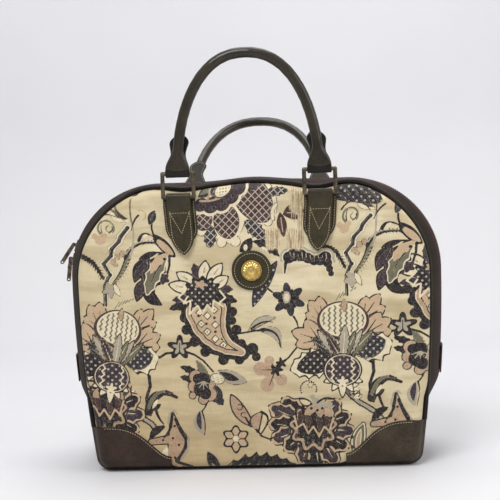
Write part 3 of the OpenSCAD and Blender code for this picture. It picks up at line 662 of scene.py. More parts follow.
# %% Motif: the split fruit with its leaves and berry
def fruit(c):
    peach = {(324, 322): ((310, 301), (319, 297), (307, 313)),
             (319, 339): ((306, 320), (293, 331), (297, 344), (312, 348)),
             (363, 318): ((366, 297), (379, 295), (384, 307)),
             (366, 333): ((380, 313), (390, 319), (391, 331), (380, 338))}
    for base, tips in peach.items():
        c.edged("peach", np.maximum.reduce([c.leaf(*base, *tip, 12.5, full=0.55) for tip in tips]), width=1.7)
        for tip in tips:
            c.weave("ink", c.stroke([base, between(base, tip, 0.7)], 1.8, 1.0))
    c.weave("maroon", c.oval(343, 320, 26, 19.5))
    c.weave("pale", c.oval(343, 319, 23, 17))
    bulb = c.oval(343, 319, 21.3, 15.6)
    c.weave("sage", np.minimum(c.zigzag(5.6, 2.0, 5.0), bulb))
    c.edged("rose", c.leaf(344, 311, 344, 299, 5.0), width=1.0)
    for i in range(6):
        c.weave("sage", c.stroke([(336 + 3.6 * i, 300 - 2.2 * i), (340 + 3.2 * i, 293 - 1.2 * i)], 1.0))
    for x0, y0, x1, y1, core in ((338, 354, 292, 369, "ink"), (354, 352, 391, 341, "navy")):
        c.edged("pale", c.leaf(x0 + 6, y0, x1, y1, 30, full=0.5, teeth=11.0), width=1.9)
        inner = c.leaf(x0, y0, x1 + (343 - x1) * 0.12, y1 - 1, 21, full=0.6)
        c.edged(core, inner, width=1.0, net="seeds")
    for x1, y1, w, yarn in ((312, 337, 9, "navy"), (318, 330, 8, "mist"), (327, 332, 8, "plum"),
                            (372, 330, 9, "sage"), (362, 329, 8, "mist"), (355, 331, 7, "sage"),
                            (345, 325, 11, "mist")):
        c.edged(yarn, c.leaf(343 + (x1 - 343) * 0.15, 358, x1, y1, w, teeth=5.0), width=1.3)
        c.weave("pale", c.stroke([(343 + (x1 - 343) * 0.2, 355), (x1 * 0.9 + 34.3, y1 + 4)], 1.1, 0.5))
    for tip in ((325, 381), (333, 389), (343, 396), (353, 390), (362, 381)):
        c.edged("pale", c.leaf(343, 374, *tip, 6.4), width=1.5)
    berry = c.oval(343, 369, 17, 14.5)
    c.edged("plum", berry, line="pale", width=0.9, net="seeds")
    c.weave("ink", np.minimum(1.0 - np.abs(berry + 1.7), berry + 2.1))
    for x in (333, 353):
        c.weave("pale", np.minimum(c.stroke([(x + 1.6 * (-1) ** i, 355 + 3.2 * i) for i in range(10)], 1.2), berry))
    c.weave("pale", c.petals(343, 381, 6, 5, 0.6, 270))


# %% Motif: the drop with its spiky flower
def drop(c):
    body = c.stroke([(207, 312), (209, 322), (213, 331), (219, 339), (228, 346), (242, 351)], 37, 4)
    scallops = ((233, 311, 4.8), (233, 320, 4), (237, 329, 5.2), (235, 338, 4.4), (242, 343, 4.8), (253, 348, 6),
                (257, 356, 4.4), (240, 359, 4.8), (224, 359, 5.4), (206, 351, 5.2), (195, 341, 5.2),
                (187, 329, 5.2), (185, 317, 5))
    c.weave("ink", body + 7.0, c.blob(*scallops))
    c.weave("pale", body + 2.2)
    c.weave("rose", body + 1.2)
    c.weave("ink", body - 2.2)
    c.weave("peach", body - 3.6)
    for i, (x, y) in enumerate(((208, 315), (202, 323), (216, 324), (208, 331), (216, 338), (224, 344), (200, 312),
                                (215, 309))):
        box = 4.6 - np.abs(c.u - x) - np.abs(c.v - y)
        c.weave("ink", np.minimum(box, body - 4.2))
        c.weave("pale", np.minimum(box - 1.5, body - 4.2))
        if i % 2:
            c.weave("ink", c.disc(x, y, 0.9))
    c.weave("maroon", np.minimum(c.dots([(199, 315), (207, 323), (215, 317), (208, 338), (216, 331), (216, 345),
                                         (223, 338)], 1.6), body - 4.2))
    for x0, y0, x1, y1, w, yarn in ((194, 300, 169, 309, 11, "ink"), (192, 296, 172, 300, 9, "plum"),
                                    (216, 295, 238, 301, 12, "ink"), (214, 288, 234, 289, 11, "plum"),
                                    (200, 282, 194, 262, 12, "plum"), (196, 284, 184, 270, 9, "ink")):
        c.weave(yarn, c.leaf(x0, y0, x1, y1, w, teeth=7.0))
    for x0, y0, x1, y1 in ((203, 283, 206, 261), (208, 283, 222, 264), (197, 285, 178, 272), (195, 289, 170, 284),
                           (212, 287, 228, 277)):
        c.edged("pale", c.leaf(x0, y0, x1, y1, 10.5, full=0.7), width=1.7)
        foot, tip = (x0, y0), (x1, y1)
        c.weave("rose", c.stroke([between(foot, tip, 0.5), between(foot, tip, 0.8)], 2.0, 0.8))
    c.weave("ink", c.petals(203, 292, 20, 12, 0.22, squeeze=0.85), net="seeds")
    c.weave("rose", c.petals(201, 284, 6.5, 5, 0.4, squeeze=0.7))
    for points in ([(188, 296), (184, 303), (191, 300), (190, 314), (198, 305), (203, 313), (208, 304), (213, 311),
                    (214, 300), (224, 306)], [(186, 290), (179, 297), (187, 303)],
                   [(220, 290), (226, 297), (219, 303)]):
        c.weave("pale", c.stroke(points, 1.5))


# %% Motif: the great lotus
def lotus(c):
    tips = ((283, 398), (270, 406), (269, 424), (272, 441), (285, 451), (302, 464), (320, 470), (338, 464),
            (349, 449), (356, 432), (351, 414), (340, 399))
    middle = (314, 428)
    for i, tip in enumerate(tips):
        c.edged("peach", c.leaf(*middle, *tip, 24, full=0.45, teeth=13.0), width=1.7)
        inner = c.leaf(*middle, *between(middle, tip, 0.95), 20, full=0.45, teeth=9.0)
        c.weave("plum" if i % 2 else "ink", inner)
        c.weave("pale", c.stroke([between(middle, tip, 0.5), between(middle, tip, 0.8)], 1.3, 0.6))
    c.weave("ink", c.petals(*middle, 27, 9, 0.2, 30))
    c.weave("rose", c.petals(*middle, 24, 9, 0.22, 30))
    heart = c.petals(*middle, 21.5, 9, 0.24, 30)
    c.weave("plum", heart)
    c.weave("ink", np.minimum(c.blob((308, 438, 10), (322, 438, 10), (315, 446, 8), (298, 430, 7)), heart - 1))
    c.weave("navy", np.minimum(c.dots([(299 + 5 * i, 434 + 5 * j + 2.5 * (i % 2)) for i in range(7)
                                       for j in range(4)], 1.2), heart - 2))
    crown = [(295, 416), (298, 428), (304, 424), (309, 434), (314, 427), (320, 437), (325, 427), (330, 432),
             (334, 418)]
    c.weave("ink", np.minimum(c.oval(314, 419, 19, 12), heart + 2))
    for x, y in ((301, 419), (309, 423), (320, 426), (328, 421)):
        c.weave("maroon", c.leaf(x, 410, x, y + 6, 5.5))
    c.weave("peach", c.stroke(crown, 1.6))
    for x0, y0, x1, y1, w in ((318, 404, 305, 415, 8), (320, 404, 334, 416, 9), (318, 403, 322, 417, 8)):
        c.edged("rose", c.leaf(x0, y0, x1, y1, w), width=0.9)
    c.weave("mist", c.blob((316, 401, 4), (322, 404, 4), (330, 404, 3), (313, 396, 2.4)))
    c.weave("ink", c.stroke(curve(318, 402, 331, 390, 342, 407), 2.4, 1.2),
            c.stroke(curve(300, 398, 309, 397, 313, 404), 2.2, 1.2))
    c.weave("ink", c.dots([(312, 408), (318, 410), (323, 408)], 1.6))


# %% Motif: sprig of the upper sides, with ribbon, fronds and lobed leaf
def sprig(c):
    ribbon = [(126, 229), (122, 237), (117, 242), (113, 249), (109, 256), (105, 264), (108, 275), (106, 286),
              (104, 306)]
    wavy = [(x + 1.4 * (-1) ** i, y) for i, (x, y) in enumerate(ribbon)]
    for width, yarn in ((8.0, "mist"), (6.4, "pale"), (3.8, "navy")):
        c.weave(yarn, c.stroke(wavy, width, width * 0.55), c.dots(wavy[:7], width * 0.55))
    c.weave("ink", c.stroke([(x - 1.8, y) for x, y in wavy], 1.1))
    frond = curve(129, 253, 124, 272, 113, 283)
    c.weave("ink", c.stroke(frond, 7.2, 3.0))
    c.weave("sage", c.stroke(frond, 3.6, 1.0))
    c.weave("rose", c.ticks([(x + 3, y + 1) for x, y in frond], 3.2, 70))
    c.edged("rose", c.blob((112, 262, 2.4), (117, 257, 2.6), (122, 254, 2.4), (115, 265, 1.8)), line="maroon",
            width=0.7)
    fern = [(80, 255), (88, 258), (94, 262), (98, 269), (103, 279)]
    c.weave("ink", c.stroke(fern, 4.5, 2.0), c.ticks(curve(80, 255, 95, 258, 103, 279, 12), 5.0, 40))
    c.edged("mist", c.petals(110, 290, 8, 5, 0.45, 20), width=1.0)
    c.edged("pale", c.leaf(113, 284, 119, 296, 4.5), width=0.9)
    arc = curve(125, 258, 133, 240, 158, 243, 14)
    c.weave("ink", c.stroke(arc, 4.0, 2.4), c.ticks(arc, 3.4, 50))
    c.weave("mist", c.stroke([(x - 0.6, y - 0.9) for x, y in arc[1:-1]], 1.2, 0.8))
    c.weave("mist", c.stroke(curve(131, 220, 136, 240, 130, 258), 1.9))
    c.weave("ink", c.leaf(153, 235, 176, 256, 11, full=0.6))
    c.weave("peach", c.leaf(156, 239, 174, 254, 6.5, full=0.6))
    c.weave("ink", c.stroke(curve(139, 241, 142, 231, 153, 237), 3.6, 1.2),
            c.stroke(curve(152, 224, 150, 231, 157, 240), 2.0))
    c.weave("pale", c.oval(145, 237, 2.6, 1.6, -20))
    c.weave("navy", c.leaf(149, 226, 155, 211, 8))
    c.weave("ink", c.stroke([(150, 222), (154, 214)], 1.0))
    c.edged("pale", c.leaf(131, 223, 115, 204, 9, -0.2), line="sage", width=0.8)
    c.weave("maroon", c.leaf(130, 221, 118, 206, 5, -0.2))
    c.weave("maroon", c.stroke(curve(117, 208, 119, 201, 124, 205), 1.8, 1.0))
    for points in (curve(133, 200, 131, 214, 132, 229), curve(139, 217, 133, 222, 131, 232),
                   [(107, 207), (117, 213), (127, 224)], [(112, 205), (119, 214)],
                   [(104, 214), (112, 215), (122, 219)], curve(99, 221, 104, 214, 110, 215)):
        c.weave("ink", c.stroke(points, 1.9, 1.0))
    c.weave("navy", c.leaf(141, 190, 133, 199, 7))
    c.weave("sage", c.stroke(bow(108, 228, 7.5, 16, 120, 400), 2.4, 1.4),
            c.stroke(bow(111, 229, 3, 9, 0, 260), 1.2))
    c.weave("ink", c.stroke(curve(105, 236, 102, 226, 106, 220), 1.6, 0.8),
            c.stroke(curve(110, 233, 115, 231, 114, 227), 1.3))
    c.weave("peach", c.blob((102, 240, 5.5), (97, 236, 3.5), (106, 236, 3.5)) - 0.6)
    c.weave("peach", c.stroke(bow(141, 217, 5, 10, 250, 420), 1.6))


def lobed_leaf(c):
    c.weave("ink", c.stroke(curve(168, 254, 153, 249, 139, 260), 2.2, 1.2), c.leaf(158, 252, 139, 259, 6))
    outer = np.maximum.reduce([c.leaf(168, 252, 146, 300, 26, 0.1, 0.6, 13.0), c.leaf(150, 258, 134, 283, 13, 0.1),
                               c.leaf(150, 278, 136, 302, 13, 0.1), c.leaf(148, 283, 163, 305, 12, 0.2)])
    c.weave("ink", outer)
    c.weave("plum", np.minimum(outer - 2.2, c.leaf(150, 258, 140, 302, 15, 0.1)))
    c.weave("plum", c.petals(164, 278, 6.5, 5, 0.35, 30))
    c.weave("ink", c.stroke([(158, 275), (152, 286), (150, 294), (153, 302), (161, 304)], 7.5, 2.5))
    for grow, yarn in ((1.2, "pale"), (0.0, "sage")):
        c.weave(yarn, c.leaf(167, 255, 147, 294, 15, 0.06, 0.6, 11.0) + grow)
    c.weave("ink", c.stroke(curve(163, 262, 153, 274, 148, 292), 1.6, 0.8))
    c.weave("peach", c.leaf(169, 253, 151, 273, 10.5, 0.1, 0.6, 9.0))
    c.weave("ink", c.disc(165, 258.5, 1.7), c.stroke([(170, 255), (170, 264), (168, 273)], 2.6, 2.0))


# %% Motif: the crown flower at the top
def crown_flower(c):
    petal_a, petal_b = c.leaf(238, 180, 268, 224, 36, full=0.5), c.leaf(222, 206, 231, 240, 26, full=0.5)
    petal_c = c.oval(204, 220, 8.5, 10.5)
    hooks = np.maximum.reduce([petal_a + 4, petal_b + 4.5, petal_c + 3.5, c.disc(222, 243, 4.5),
                               c.disc(236, 243, 4.5)])
    c.weave("maroon", hooks + 0.9)
    c.weave("pale", hooks)
    for petal in (petal_a, petal_b, petal_c):
        c.weave("maroon", petal, net="crosses")
    c.weave("plum", c.leaf(262, 184, 244, 196, 8))
    for x, y, r in ((201, 205, 7), (211, 207, 8), (222, 206, 8), (232, 200, 8), (239, 191, 8), (238, 181, 7)):
        c.weave("pale", c.disc(x, y, r + 1.6))
    c.weave("plum", c.blob((201, 204, 7), (211, 206, 8), (222, 205, 8), (231, 199, 8), (238, 191, 8), (237, 182, 7),
                           (222, 190, 12)))
    c.weave("ink", c.dots([(204, 206), (214, 209), (225, 206), (233, 199)], 1.8))
    c.weave("rose", c.stroke(curve(200, 200, 214, 204, 226, 197), 1.8))
    c.weave("navy", c.leaf(198, 196, 216, 186, 12))
    c.weave("sage", c.leaf(200, 194, 212, 188, 5))
    c.weave("rose", c.stroke(curve(208, 199, 211, 193, 208, 186), 2.2, 1.2))
    c.edged("pale", c.oval(223, 192, 8.5, 6, -35), width=1.2)
    c.weave("maroon", np.minimum(c.dots([(217 + 3 * i, 188 + 3 * j) for i in range(5) for j in range(4)], 0.9),
                                 c.oval(223, 192, 7, 4.6, -35)))
    for x0, y0, x1, y1, w in ((211, 226, 210, 248, 15), (245, 224, 266, 240, 17), (264, 197, 288, 191, 11)):
        c.weave("navy", c.leaf(x0, y0, x1, y1, w, full=0.6, teeth=6.0), net="crosses")
    c.weave("maroon", c.leaf(283, 216, 304, 208, 15), c.leaf(280, 214, 284, 238, 10))
    c.weave("rose", c.stroke([(287, 214), (300, 211)], 1.0), c.stroke([(281, 219), (283, 233)], 1.0))
    c.edged("pale", c.stroke(curve(273, 221, 271, 212, 276, 207), 3.0), width=0.8)
    c.weave("ink", c.leaf(240, 253, 252, 240, 11, 0.1), c.leaf(253, 243, 280, 257, 12, -0.1, teeth=6.0))
    c.weave("pale", c.oval(246, 249, 2, 3), c.oval(265, 250, 3.4, 1.5, 25))


# %% Motif: bud, tendril, flame-shaped leaf, curled leaf and vine
def bud(c):
    c.weave("ink", c.leaf(199, 377, 180, 366, 9, 0.1, teeth=6.0), c.leaf(197, 380, 180, 376, 8, teeth=6.0))
    c.weave("navy", c.leaf(212, 390, 224, 405, 13, teeth=7.0), c.leaf(216, 384, 222, 402, 8))
    c.edged("sage", c.leaf(209, 378, 197, 360, 6), width=0.9)
    c.edged("mist", c.leaf(219, 370, 247, 381, 12, 0.05), width=0.9)
    c.weave("ink", c.leaf(220, 371, 240, 379, 7.5, 0.05))
    c.edged("rose", c.blob((196, 376, 6), (194, 386, 5), (193, 395, 3), (204, 399, 4.5), (211, 394, 6),
                           (211, 382, 5), (203, 384, 11)), width=1.2)
    c.weave("ink", c.blob((203, 380, 8), (202, 388, 8), (206, 393, 6), (198, 378, 5)))
    for i in range(5):
        b = math.radians(20 + 35 * i)
        c.weave("mist", c.stroke([(204, 381), (204 + 8 * math.cos(b), 381 + 8 * math.sin(b))], 1.5, 0.7))
    c.edged("pale", c.oval(218, 378, 6.5, 4.6, 15), line="sage", width=1.0)
    c.weave("sage", *[c.stroke([(213, 376 + 2 * i), (223, 378 + 2 * i)], 0.7) for i in range(3)])
    c.weave("ink", c.stroke(curve(207, 403, 206, 408, 200, 413), 1.8, 1.2))
    c.weave("mist", c.leaf(201, 410, 203, 436, 10, 0.14))
    c.weave("plum", c.leaf(200, 411, 201, 431, 5.4, 0.08))
    c.weave("ink", c.stroke(curve(202, 411, 207, 424, 204, 437), 1.6, 1.0))


def tendril(c):
    c.weave("ink", c.stroke([(160, 357), (166, 353), (174, 352), (186, 351), (195, 354), (204, 360), (214, 371)],
                            2.6, 1.8), c.petals(180, 347, 13, 5, 0.5, 270))
    c.weave("mist", c.petals(180, 347, 7.5, 5, 0.6, 270))
    c.weave("ink", c.stroke([(180, 352), (180, 342)], 1.2))


def flame_leaf(c):
    flame = np.maximum.reduce([c.stroke([(172.5, 414), (174, 427), (177, 440)], 1, 17),
                               c.stroke([(177, 440), (174, 452), (170, 465)], 17, 10),
                               c.stroke([(174, 441), (163, 442), (150, 444)], 9, 5),
                               c.stroke([(169, 466), (180, 468), (193, 471)], 8, 2)])
    c.weave("mist", c.stroke([(168, 424), (170, 414), (174, 411), (177, 414)], 3.4, 1.6),
            c.stroke([(180, 428), (188, 440), (187, 452), (178, 463), (192, 467)], 3.0, 2.0))
    c.edged("rose", flame, width=1.4)
    c.weave("ink", c.leaf(148, 441, 165, 427, 8, -0.1),
            c.stroke([(172, 414), (170.5, 428), (166, 436), (163, 439)], 2.8, 2.0),
            c.stroke([(175, 420), (180, 432), (185, 441), (185, 449), (180, 456), (175, 462)], 3.0, 3.0),
            c.stroke([(175, 462), (183, 464), (191, 467)], 1.6, 2.6))
    c.weave("pale", c.leaf(166, 449, 160, 468, 7))
    c.weave("ink", c.dots([(174, 427), (162, 442), (172, 440), (178, 447), (174, 459), (182, 468)], 1.4))


def curled(c):
    c.weave("ink", c.stroke([(149, 376), (150, 386), (146, 398), (147, 410), (150, 416)], 3.6, 2.6),
            c.stroke(curve(148, 412, 150, 384, 177, 397), 9.0, 3.0))
    c.weave("sage", c.stroke(curve(149, 408, 153, 391, 166, 391), 4.6, 2.2))
    c.weave("plum", c.stroke([(166, 391), (173, 393)], 3.0, 1.4))
    c.weave("ink", c.stroke(curve(151, 410, 155, 398, 165, 394), 3.6, 1.6), c.leaf(150, 411, 161, 404, 6))
    c.weave("pale", c.leaf(152, 409, 158, 399, 3.4))
    c.weave("ink", c.stroke(curve(156, 412, 158, 420, 163, 425), 3.0, 1.6))


def vine(c):
    line = [(114, 385), (118, 397), (124, 406), (132, 413), (142, 419), (151, 425), (156, 432)]
    c.weave("ink", c.stroke(line, 5.6, 6.4), c.ticks(line, 5.0, 50))
    c.weave("mist", c.stroke(line[1:], 2.6, 3.0))
    c.weave("plum", c.stroke(line[:3], 2.4))
    for x0, y0, x1, y1 in ((122, 399, 134, 391), (123, 403, 133, 400), (127, 409, 135, 406)):
        c.edged("pale", c.leaf(x0, y0, x1, y1, 5.0), width=0.9)
    c.weave("ink", c.stroke(bow(130, 405, 3.4, 8, 180, 420), 1.2))


# %% Motif: single leaves and small flowers
def small_motifs(c):
    crescent = c.blob((289, 257.5, 5.8), (294.5, 254.5, 6.6), (301, 254.5, 6.2), (308, 257, 5.6), (314, 259, 5.4),
                      (320, 258.5, 6.0), (325, 256, 6.2), (327.5, 262, 4.6), (329.5, 268, 3.6), (331, 273, 3.0))
    c.weave("mist", np.minimum(crescent + 3.2, 262 - c.v))
    c.edged("ink", np.maximum(crescent, c.stroke([(286, 263), (285, 273)], 3.4, 1.6)), line="pale", width=1.0)
    c.weave("mist", *[c.stroke([(x, 252 + i % 3), (x + 0.5, 256 + 2 * (i % 2))], 1.0, 0.6) for i,
                      x in enumerate(range(290, 328, 4))])
    c.weave("plum", c.dots([(292 + 7 * i, 258 + (i % 2)) for i in range(6)], 1.8))
    c.weave("navy", c.leaf(278, 262, 253, 307, 14, 0.05), net="seeds")
    c.weave("ink", c.stroke(curve(268, 288, 276, 295, 284, 297), 2.0, 1.4), c.stroke([(272, 266), (277, 262)], 2.0))
    c.weave("navy", c.petals(289, 299, 17, 6, 0.45, 20))
    c.weave("ink", c.petals(289, 299, 11, 6, 0.6, 50))
    c.edged("pale", c.oval(287, 297, 2.6, 4), line="mist", width=1.2)
    c.weave("ink", c.stroke([(294, 316), (297, 321), (299, 328)], 2.2, 1.2))
    for points, w, bend in (((249, 331, 276, 317), 7, -0.12), ((258, 330, 282, 347), 8.5, -0.28)):
        c.edged("mist", c.leaf(*points, w, bend), width=0.9)
    c.weave("ink", c.stroke([(238, 333), (250, 331), (262, 329)], 1.8),
            c.stroke(curve(262, 329, 280, 328, 281, 346), 3.2, 1.2))
    c.weave("ink", c.stroke(curve(252, 328, 264, 318, 274, 322), 2.4, 1.0))
    pink = c.blob((270, 360, 6), (261, 368, 8), (268, 384, 8), (282, 379, 7), (272, 371, 9))
    c.weave("rose", pink - 1.0)
    spokes = [c.stroke([(276, 369), p], 1.6, 0.9) for p in ((262, 369), (271, 360), (283, 378), (270, 385))]
    c.weave("ink", c.petals(277, 369, 7, 5, 0.6), *spokes, c.stroke([(281, 363), (289, 357), (297, 347)], 1.8),
            c.petals(282, 362, 6, 5, 0.6, 40))
    c.edged("rose", c.leaf(232, 395, 252, 426, 11, 0.05, 0.7), width=1.7)
    c.weave("ink", c.stroke(bow(240, 407, 3, 9, -120, 160), 1.2), c.stroke(bow(244, 415, 2.6, 9, 60, 330), 1.2),
            c.stroke([(246, 418), (251, 427)], 2.2))
    c.edged("peach", c.petals(236, 440, 12.2, 6, 0.34, 30), width=2.3)
    for a in np.radians(60 * np.arange(6)):
        c.weave("ink", c.stroke([(236 + r * math.cos(a), 440 + r * math.sin(a)) for r in (4, 9)], 1.6))
    c.edged("pale", c.petals(236, 440, 3.6, 6, 0.3), width=0.9)
    c.weave("ink", c.leaf(218, 474, 300, 468, 30, -0.05, 0.6, 11.0), c.leaf(303, 459, 325, 472, 9),
            c.leaf(318, 472, 348, 463, 8))
    c.weave("mist", *[c.stroke([(226 + 9 * i, 470), (232 + 9 * i, 463 + i % 2)], 0.9) for i in range(7)])
    c.edged("ink", c.leaf(207, 453, 219, 474, 11), line="mist", width=1.2)
    c.weave("mist", c.leaf(211, 463, 217, 473, 3))
    c.edged("rose", c.leaf(258, 432, 262, 412, 9, -0.2), width=1.6)
    c.weave("ink", c.stroke(curve(262, 412, 275, 416, 262, 434), 2.6, 1.4),
            c.stroke([(257, 430), (262, 437), (270, 440), (278, 437)], 1.8))
    for grow, yarn in ((2.6, "navy"), (1.3, "pale"), (0.0, "sage"), (-2.6, "pale"), (-3.6, "rose")):
        c.weave(yarn, c.leaf(360, 460, 364, 424, 11, -0.08) + grow)
    c.weave("navy", c.dots([(353, 438), (354, 448)], 1.8))
    broad = c.leaf(330, 192, 378, 203, 25, -0.1, 0.5)
    c.weave("navy", broad, net="seeds")
    veins = np.maximum.reduce([c.stroke([(330 + 7 * i, 180), (352 + 7 * i, 212)], 1.3) for i in range(-2, 6)])
    c.weave("ink", np.minimum(broad, veins))
    c.weave("ink", c.dots(bow(309, 388, 8, 14, 150, 380), 0.9))
    c.weave("ink", c.dots(bow(311, 384, 2.6, 6, 0, 300), 0.8))


def draw_flowers(cloth):
    """The whole cloth, in pattern units of about 1.2 mm. Most motifs come twice, a width of the pattern apart."""
    for shift in ((0, 0), (227, -12)):
        vine(cloth.part((100, 376, 170, 445), shift))
    for shift in ((0, 0), (-212, -16)):
        lotus(cloth.part((262, 382, 362, 474), shift))
    for shift in ((0, 0), (222, -22)):
        tendril(cloth.part((150, 330, 226, 378), shift))
    for shift, turn, squeeze in (((0, 0), 0.0, 1.0), ((-228, 9), 8.0, 0.9)):
        fruit(cloth.part((284, 280, 400, 404), shift, turn, squeeze))
    for shift in ((0, 0), (226, -16)):
        drop(cloth.part((158, 254, 264, 372), shift))
    for shift in ((0, 0), (242, -11)):
        sprig(cloth.part((72, 180, 182, 312), shift))
        lobed_leaf(cloth.part((124, 240, 182, 312), shift))
    crown_flower(cloth.part((188, 168, 312, 264)))
    for shift in ((0, 0), (213, -29)):
        bud(cloth.part((172, 352, 254, 444), shift))
    for shift in ((0, 0), (224, -20)):
        flame_leaf(cloth.part((138, 402, 202, 480), shift))
    for shift in ((0, 0), (224, -15)):
        curled(cloth.part((136, 372, 184, 432), shift))
    small_motifs(cloth.part((200, 176, 390, 482)))


# %% Tapestry material
NET_PITCH, RIB_PITCH, WARP_PITCH = 7.4, 0.0011, 0.0021


def tapestry(name):
    place, finish = new_material(name)
    x, _, z = place.axes()

    def attribute(title, out=2):
        return place.node("ShaderNodeAttribute", {"attribute_name": title}, out=out)

    slub = place.noise(900.0, 2.0, 0.6, (1.0, 1.0, 0.12))
    weft = place.noise(1100.0, 2.0, 0.6, (0.15, 1.0, 1.0))
    clouds = place.noise(14.0, 3.0, 0.6)
    rub = place.noise(160.0, 4.0, 0.7)
    # Painted shade: towards the lower left the ground is mixed into a darker tan, as if that part of the cloth lay
    # in shade.
    lower_left_shade = (x * -1.6 - z * 3.2 + (clouds - 0.5) * 0.7).ramp(-0.75, 0.25)
    ground = (clouds * 0.8 + slub * 0.2).ramp(0.3, 0.72)
    colour = lower_left_shade.mix(ground.mix(rgb(206, 191, 153), rgb(230, 217, 184)),
                      ground.mix(rgb(180, 156, 116), rgb(210, 190, 148)))
    # Painted shade: soft horizontal bands darken the ground towards tan, standing for shade in the cloth's creases.
    creases = place.noise(30.0, 3.0, 0.55, (0.32, 1.0, 1.7)).ramp(0.56, 0.36)
    colour = (creases * 0.5).mix(colour, rgb(176, 154, 116))
    edge = (slub - 0.5) * 0.7
    flecks = (place.noise(480.0, 2.0, 0.6) * 0.7 + rub * 0.3).ramp(0.46, 0.62)
    for yarn, tint in YARNS.items():
        other, share = (rgb(70, 58, 60), 0.16) if yarn in LIGHT_YARNS else (rgb(206, 192, 166), 0.1)
        flecked = tuple((1 - share) * a + share * b for a, b in zip(tint, other))
        cover = 0.66 + 0.3 * flecks if yarn in ("rose", "mist") else 1.0
        colour = ((attribute(yarn) + edge).ramp(-0.22, 0.22) * cover).mix(colour, flecks.mix(tint, flecked))
    u, v, _ = attribute("pattern", 1).axes()
    one, two = ((w * (math.pi / NET_PITCH)).sine().absolute() for w in (u + v, u - v))
    crosses = one.math("MINIMUM", one, two).ramp(0.34, 0.16)
    seeds = (one * two).ramp(0.72, 0.88)
    for net, threads in (("crosses", crosses), ("seeds", seeds)):
        colour = ((attribute(net) + edge).ramp(-0.2, 0.3) * threads * 0.75).mix(colour, rgb(206, 194, 178))
    bare = (attribute("bare") + (rub - 0.5) * 0.8).ramp(0.25, 0.6)
    # The bare warp is striped pale and tan: the tan between the threads is partly the threads' own colour and
    # partly painted shadow between them.
    strands = (x * (2 * math.pi / WARP_PITCH) + 6.0 * slub).sine() * 0.5 + 0.5
    colour = bare.mix(colour, strands.mix(rgb(172, 148, 110), rgb(232, 218, 187)))
    ribs = ((z * (2 * math.pi / RIB_PITCH)).sine() * 0.5 + 0.5) * 0.35 + slub * 0.35 + weft * 0.3
    broad, fine = place.noise(34.0, 3.0, 0.5, (0.4, 1.0, 1.4)), place.noise(110.0, 2.0, 0.5, (0.3, 1.0, 1.3))
    wrinkles = broad * 0.005 + fine * 0.0008
    return finish(Base_Color=colour, Roughness=0.82 + 0.12 * weft, Normal=bump(ribs * 0.00035 + wrinkles, 1.0),
                  Specular_IOR_Level=0.25, Sheen_Weight=0.15, Sheen_Roughness=0.5)


tapestry_cloth = tapestry("tapestry cloth")


# %% Weave and place the panels
TO_PATTERN, PATTERN_AT = np.array([[0.8276, -0.0284], [-0.0224, -0.823]]), np.array([259.13, 472.47])


def pattern_of(x, z):
    """Pattern coordinates of a place on a panel: the cloth is cut slightly askew."""
    return [TO_PATTERN[i, 0] * x + TO_PATTERN[i, 1] * z + PATTERN_AT[i] for i in (0, 1)]


def place_of(u, v):
    """Place x, z on a panel of pattern coordinates."""
    x, z = np.linalg.solve(TO_PATTERN, np.stack([np.ravel(u), np.ravel(v)]) - PATTERN_AT[:, None])
    return x, z


def wear(u, v):
    """Where the face yarns are rubbed away, from 0 to 1."""
    patches = ((296, 200, 7, 15), (273, 240, 8, 11), (295, 239, 10, 11), (301, 220, 4, 10))
    return 0.85 * np.maximum.reduce([np.exp(-((u - a) / w) ** 4 - ((v - b) / h) ** 4) for a, b, w, h in patches])


def skin(x, z):
    """How far the front of a panel stands out from the middle of the bag."""
    return SEAM_Y + stand_out(inset(x, z)) + folds(x, z)


def store(made, name, values, kind="FLOAT"):
    key = "value" if kind == "FLOAT" else "vector"
    layer = made.data.attributes.new(name, kind, "POINT")
    layer.data.foreach_set(key, np.ascontiguousarray(values.ravel(), np.float32))


def overhang(x, z):
    """How far the padded edge hangs out sideways over the piping."""
    d = inset(x, z)
    side = step(18.0, 50.0, z - PATCH_H) * step(0.0, 60.0, np.abs(x) - HALF_TOP)
    return np.sign(x) * SIDE_HANG * side * step(PANEL_GAP, PANEL_GAP + FOLD_OVER, d) * step(40.0, 8.0, d)


def lower_edge(x, z):
    """How far the lower edge hangs down over the piping, between the corner patches."""
    fold = step(PANEL_GAP, PANEL_GAP + FOLD_OVER, inset(x, z))
    return -FLOOR_HANG * step(112.0, 98.0, np.abs(x)) * fold * step(36.0, 6.0, z)


def panel(name, node, side):
    points = np.stack([px + overhang(px, pz), -skin(px, pz), pz + slump(px, pz) + lower_edge(px, pz)], -1)
    points = mirrored(points, side).reshape(-1, 3)
    faces = grid_faces(*px.shape, turn=side < 0)
    made = piece(name, points, faces, tapestry_cloth, nodes_replaced=[node], slot="tapestry", sharp=None)
    cloth = Loom(*pattern_of(side * px, pz))
    draw_flowers(cloth)
    for yarn, field in cloth.yarn.items():
        store(made, yarn, field)
    store(made, "pattern", np.stack([cloth.u, cloth.v, 0 * cloth.u], -1), "FLOAT_VECTOR")
    store(made, "bare", wear(cloth.u, cloth.v) if side > 0 else 0 * px)
    return made


for side, word in FACES:
    made = panel(f"{word}_tapestry", f"{word}_panel", side)
    print(word, "panel woven,", len(made.data.polygons), "faces")

# %% [markdown]
# ## Corner patches
# A leather patch covers each bottom corner: it starts at a bent upper edge on the panel, goes over the rolled edge
# and the seam, and turns onto the gusset. Each line across it is worked out from the same roll as the panel.

# %% Corner patches
PATCH_T, SEWN, OGEE, FLAP = 1.8, 0.2, 1.7, 18.0
patch_s = np.concatenate([np.linspace(PATCH_END, RUN[2], 26), np.linspace(RUN[2], RUN[3], 16)[1:],
                          np.linspace(RUN[3], RUN[3] + CORNER_X - PATCH_FLOOR_X, 34)[1:]])
patch_top, patch_foot = (np.array(rim(np.array(s), -ROLL_W - 2)) for s in (PATCH_END, patch_s[-1]))


